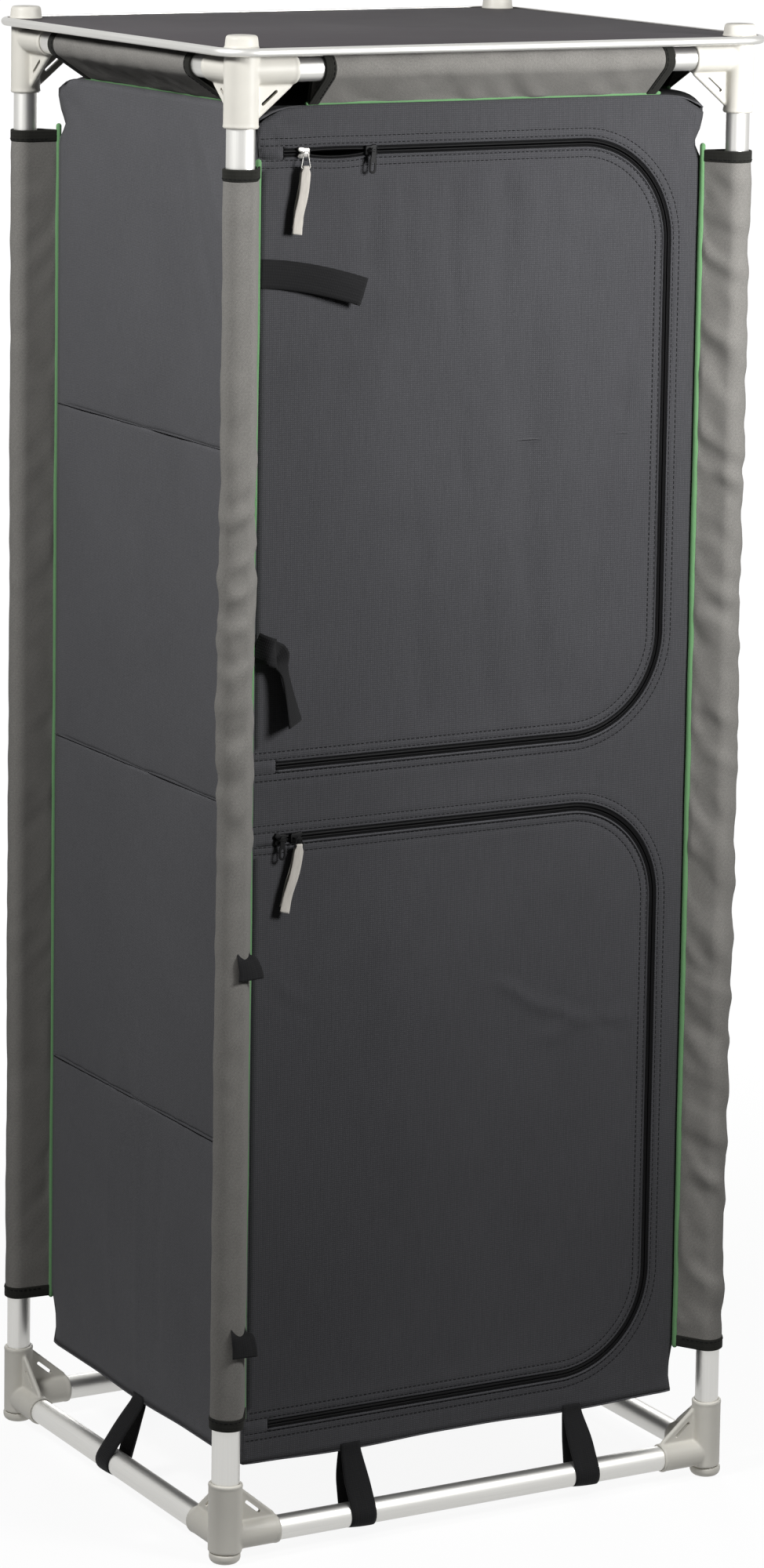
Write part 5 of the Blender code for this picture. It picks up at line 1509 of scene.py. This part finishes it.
def flat_pull(name, x, y, z, body, finish, long, nodes=(), tilt=0.0):
    """Flat metal pull that hangs from a bridge: a narrow neck with an eye and a broad round end with a long hole."""
    half, eye, hole = 0.0031, 0.0022, 0.0016
    end = -long + half  # middle of the round end
    turn = np.linspace(math.pi / 2, 0, 7)
    right = [(eye * math.cos(a), 0.0010 + eye * math.sin(a)) for a in turn[:-1]]
    right += [(eye, 0.0010), (eye, -0.0034), (half * 0.8, -0.0056), (half, -0.0080), (half, end)]
    turn = np.linspace(0, -math.pi / 2, 8)
    right += [(half * math.cos(a), end + half * math.sin(a)) for a in turn[1:]]
    outline = right + [(-u, v) for u, v in right[-2:0:-1]]
    slot_hole = []
    for start, middle in ((0, end + 0.0052), (math.pi, end + 0.0006)):
        turn = np.linspace(start, start + math.pi, 8)
        slot_hole += [(hole * math.cos(a), middle + hole * math.sin(a)) for a in turn]
    cutters = [closed_lathe([(0.0013, -0.003), (0.0013, 0.003)], 20), plate(slot_hole, -0.003, 0.003, 0)]
    mesh = carved(plate(outline, -0.0006, 0.0006, 0.00025), cutters, 35)
    place = Matrix.Translation((x, y, z)) @ Matrix.Rotation(tilt, 4, "Y") @ UPRIGHT
    return piece(name, carried(mesh, place), finish, body, nodes)


def ribbon_pull(name, node, metal, pivot, link, long, drift, tilt):
    """Ribbon folded through a wire link that hangs from a slider."""
    x, y, z = pivot
    half, low = 0.00205, z - link
    wire = [(x + half * math.cos(a), y, z - 0.0004 + half * math.sin(a)) for a in np.linspace(0, math.pi, 12)]
    wire += [(x - half - 0.0022, y - 0.0002, low + 0.001), (x - half - 0.0024, y - 0.0002, low)]
    wire += [(x + half + 0.0024, y - 0.0002, low), (x + half + 0.0022, y - 0.0002, low + 0.001)]
    wire = spaced(wire, 0.0005, closed=True)
    for _ in range(3):
        wire = (np.roll(wire, 1, axis=0) + 2 * wire + np.roll(wire, -1, axis=0)) / 4
    mesh = round_bar(wire, 0.00055, 10, closed=True, hint=(0, 1, 0))
    piece(name + "_link", mesh, metal, node, [node])
    t = np.linspace(0, 1, 40)
    layers = []
    for layer, (reach, off) in enumerate(((long, -0.0011), (long - 0.004, 0.0011))):
        sway = drift * t + tilt * t * t + 0.0012 * np.sin(2.3 * t * math.pi + layer) * t
        out = y + off * (1 - 0.35 * t) + 0.0006 * np.sin(3.1 * t * math.pi + 1.4 * layer) * t
        path = np.column_stack([x + sway, out, low + 0.0006 - reach * t])
        width = 0.0095 * (0.64 + 0.36 * ease(t / 0.10)) - 0.0006 * np.exp(-t / 0.05)
        across = np.tile((1.0, 0.0, 0.12), (len(t), 1)) + np.outer(np.sin(2.6 * t + layer), (0, 0.10, 0))
        layers.append((path, width, across))
    front, back = layers
    turned_over = np.array([[x, y + 0.0009, low + 0.0013], [x, y, low + 0.0017], [x, y - 0.0009, low + 0.0013]])
    path = np.vstack([back[0][::-1], turned_over, front[0]])
    width = np.concatenate([back[1][::-1], [0.0062] * 3, front[1]])
    across = np.vstack([back[2][::-1], [(1.0, 0, 0)] * 3, front[2]])
    mesh = strap(path, across, width, 7, 0.0003)
    made = piece(name, mesh, look(satin_ribbon), node, thickness=0.0005, offset=0.0)


class CUPBOARD_OT_pulls(bpy.types.Operator):
    """Two ribbon pulls on wire links, and the flat metal pull of the upper zip"""

    bl_idname = "cupboard.pulls"
    bl_label = "Zip pulls"

    def execute(self, context):
        nickel, enamel = look(nickel_plate), look(black_enamel)
        y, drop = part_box("upper_ribbon_pull")[1].y - 0.0026, 0.0024
        for name, slider, metal, slot, link, long, drift, tilt in (
            ("upper_ribbon", "upper_slider_silver", nickel, "zip_nickel", 0.0130, 0.0570, -0.0040, -0.0050),
            ("lower_ribbon", "lower_slider_lead", enamel, "zip_black", 0.0070, 0.0580, -0.0080, -0.0070),
        ):
            node = name + "_pull"
            pivot = (centre(slider)[0], y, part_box(node)[1].z - drop)
            ribbon_pull(name, node, metal, pivot, link, long, drift, tilt)
        node = "upper_metal_pull"
        x, z = centre("upper_slider_black")[0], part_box(node)[1].z - drop
        flat_pull("metal_pull", x, y, z, node, enamel, 0.0200, [node], 0.06)
        return {"FINISHED"}


class CUPBOARD_OT_ties(bpy.types.Operator):
    """Webbing ties: two on the upper door's hinge side, two in the left seam beside the lower door"""

    bl_idname = "cupboard.ties"
    bl_label = "Door ties"

    def execute(self, context):
        wide = sizes().webbing
        t = np.linspace(0, 1, 26)
        hinge, slow = -0.0085, np.sin(math.pi * t / 2) ** 2
        path = self.place(0.098 * t + hinge, -0.0190 * t**1.7, 0.0014 + 0.0075 * slow, 1.1305)
        across = np.column_stack([0.25 * t, 0 * t, np.ones_like(t)])
        self.tie("upper_tie_a", "upper_door_tie_top", "upper_door", path, across, wide)
        bulge = 0.0014 + 0.0085 * np.sin(2.75 * t**1.2)
        fall = np.linspace(0, 1, 24)[1:]
        edges = []
        for side, start, drop, rows in (
            (0.0142, 0.0125, 0.0085, ((0, 6, 15, 31), (0, 0, -1, 0), (0, -7, -26, -76))),
            (0.0218, -0.0125, 0.0075, ((0, 0.5, 0, 3), (0, -4, -9, -13.5), (0, -3, -10, -47.5))),
        ):
            edge = self.place(side * t + hinge, start - drop * t, bulge, 0.809)
            hung = np.column_stack([np.interp(fall, (0, 0.10, 0.33, 1), np.array(row) * MM) for row in rows])
            edges.append(smoothed(np.vstack([edge, edge[-1] + hung]), 2))
        right, left = edges
        path, across = (right + left) / 2, right - left
        width = np.linalg.norm(across, axis=1)
        self.tie("upper_tie_b", "upper_door_tie_bottom", "upper_door", path, across, width)
        fine = np.linspace(0, 1, 30)
        for name, node, z, share, lean in (
            ("lower_tie_a", "lower_door_tie_top", 0.5500, 0.8, 0.0),
            ("lower_tie_b", "lower_door_tie_bottom", 0.2140, 1.0, 0.06),
        ):
            # Along the stub from its seam: how far to the side, how far out, how far down, and how far it has turned
            side, out, drop, turned_by = (
                np.interp(fine, (0, 0.2, 0.36, 0.46, 0.6, 0.82, 1), values)
                for values in (
                    (0, 0.46, 0.78, 0.80, 0.80, 0.70 + lean, 0.69 + 1.4 * lean),
                    (0, 0.34, 0.66, 0.80, 0.90, 0.96, 1.0),
                    (-0.42, -0.28, 0.04, 0.16, 0.34, 0.70, 1.0),
                    (0, 0.15, 0.55, 0.92, 1.0, 1.0, 1.0),
                )
            )
            path = np.column_stack([-0.2225 - 0.024 * side, -WALL_Y - 0.0013 - 0.0336 * out, z - 0.026 * drop])
            path = smoothed(path, 3)
            across = np.column_stack([-turned_by, -0.36 * turned_by * (1 - fine), 1 - turned_by + 0.3 * turned_by])
            width = wide * np.interp(fine, (0, 0.4, 1), (1.0, share, 1.0))
            self.tie(name, node, "cupboard", path, across, width)
        return {"FINISHED"}

    def place(self, side, up, out, z):
        """Points from a tie's own directions: along the door, up, and out from it."""
        return np.column_stack([HINGE_X + side, -WALL_Y - out, z + up])

    def tie(self, name, node, body, path, across, width):
        """One tie, sewn to the wall, or on the upper door left in place without a body."""
        on_door = body == "upper_door"
        mesh, web = strap(path, across, width, 9, 0.0005), look(polypropylene_webbing)
        rides = None if on_door else body
        made = piece(name, mesh, web, rides, [node], sizes().webbing_thickness, 0.0)
        if on_door:
            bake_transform(made)


# Stage


class CUPBOARD_OT_studio(bpy.types.Operator):
    """Pale floor, soft lamps, white surroundings and the camera"""

    bl_idname = "cupboard.studio"
    bl_label = "Studio"

    def execute(self, context):
        self.add_floor()
        self.add_world()
        self.add_lamp("key", (0.46, -1.16, 1.38), (0, 0, 1.1), 0.45, 19.0)
        self.add_lamp("side", (-1.65, -0.38, 2.15), (0, 0, 1.0), 0.5, 34.0)
        self.add_lamp("back", (1.1, 1.9, 0.9), (0, 0, 0.7), 0.7, 8.0)
        self.add_camera()
        return {"FINISHED"}

    def add_floor(self):
        """Grey floor that shows as white away from the cupboard, with a painted glow round its foot that lights the
        cupboard's lower parts.
        """
        rows = [[(x, y, 0.0) for x in np.linspace(-40, 40, 5)] for y in np.linspace(-12, 110, 7)]
        mesh = facing(grid(rows), (0, 0, 1))
        made = placed("studio_floor", mesh)
        finish, tree, shader = surface("painted_floor", linear("4A4A4A"), Roughness=0.85, Specular_IOR_Level=0.1)
        away = add(tree, "VectorMath", {0: add(tree, "NewGeometry")}, operation="LENGTH").outputs["Value"]
        white = add(tree, "MapRange", {0: away, 1: 0.6, 2: 3.0, 3: 0.92, 4: 1.0})
        seen = maths(tree, "MULTIPLY", looking(tree), white)
        # Painted bounce light: within about half a metre of the middle the floor glows for diffuse rays, standing in
        # for light bounced up off it
        floor_glow = add(tree, "MapRange", {0: away, 1: 0.3, 2: 0.55, 3: 0.4, 4: 0.0})
        lift = maths(tree, "MAXIMUM", seen, floor_glow)
        shader.inputs["Emission Color"].default_value = (1, 1, 1, 1)
        tree.links.new(lift.outputs[0], shader.inputs["Emission Strength"])
        mesh.materials.append(finish)

    def add_world(self):
        """White surroundings for the camera, dim ones for the light that falls on the cupboard."""
        world = bpy.data.worlds.new("studio_world")
        bpy.context.scene.world = world
        world.use_nodes = True
        tree = world.node_tree
        strength = ranged(tree, looking(tree), 0.04, 1.0)
        back = tree.nodes["Background"]
        back.inputs[0].default_value = (1, 1, 1, 1)
        tree.links.new(strength.outputs[0], back.inputs[1])

    def add_lamp(self, name, place, aim, wide, power):
        """Round soft lamp, not seen by the camera."""
        data = bpy.data.lights.new(name, "AREA")
        data.shape, data.size, data.energy = "DISK", wide, power
        lamp = placed(name, data)
        lamp.location = place
        lamp.visible_camera = False
        lamp.rotation_euler = (Vector(aim) - Vector(place)).to_track_quat("-Z", "Y").to_euler()

    def add_camera(self):
        """The camera fitted to the corners of the frame in the photograph."""
        azimuth, elevation, roll = (math.radians(a) for a in (28.548, 7.732, 0.708))
        level = math.cos(elevation)
        ahead = Vector((math.sin(azimuth) * level, math.cos(azimuth) * level, -math.sin(elevation)))
        right = Vector((math.cos(azimuth), -math.sin(azimuth), 0))
        up = right.cross(ahead)
        right, up = right * math.cos(roll) + up * math.sin(roll), up * math.cos(roll) - right * math.sin(roll)
        data = bpy.data.cameras.new("photo_view")
        data.lens, data.sensor_width, data.shift_x, data.shift_y = 117.06, 36.0, 0.066, -0.252
        data.clip_start, data.clip_end = 0.05, 400.0
        camera = placed("photo_view", data)
        camera.matrix_world = Matrix((right, up, -ahead)).transposed().to_4x4()
        camera.location = (-2.2667, -3.9879, 1.6176)
        bpy.context.scene.camera = camera
        bpy.context.scene.view_settings.view_transform = "Standard"


STEPS = (
    CUPBOARD_OT_studio,
    CUPBOARD_OT_tubes,
    CUPBOARD_OT_connectors,
    CUPBOARD_OT_feet,
    CUPBOARD_OT_table,
    CUPBOARD_OT_walls,
    CUPBOARD_OT_front,
    CUPBOARD_OT_shelves,
    CUPBOARD_OT_tunnels,
    CUPBOARD_OT_loops,
    CUPBOARD_OT_sliders,
    CUPBOARD_OT_pulls,
    CUPBOARD_OT_ties,
)


class CUPBOARD_PT_panel(bpy.types.Panel):
    """Lists the cupboard's sizes, colours and building steps."""

    bl_idname = "CUPBOARD_PT_panel"
    bl_label = "Camp kitchen cupboard"
    bl_space_type = "VIEW_3D"
    bl_region_type = "UI"
    bl_category = "Cupboard"

    def draw(self, context):
        for group in (context.scene.cupboard_sizes, context.scene.cupboard_colours):
            box = self.layout.box()
            for name in group.bl_rna.properties.keys():
                if name not in ("rna_type", "name"):
                    box.prop(group, name)
        for step in STEPS:
            self.layout.operator(step.bl_idname)


CLASSES = (CupboardSizes, CupboardColours, *STEPS, CUPBOARD_PT_panel)


def register():
    for made in CLASSES:
        bpy.utils.register_class(made)
    bpy.types.Scene.cupboard_sizes = PointerProperty(type=CupboardSizes)
    bpy.types.Scene.cupboard_colours = PointerProperty(type=CupboardColours)


def unregister():
    del bpy.types.Scene.cupboard_colours
    del bpy.types.Scene.cupboard_sizes
    for made in reversed(CLASSES):
        bpy.utils.unregister_class(made)


def main():
    register()
    for step in STEPS:
        group, name = step.bl_idname.split(".")
        getattr(getattr(bpy.ops, group), name)()


if __name__ == "__main__":
    main()
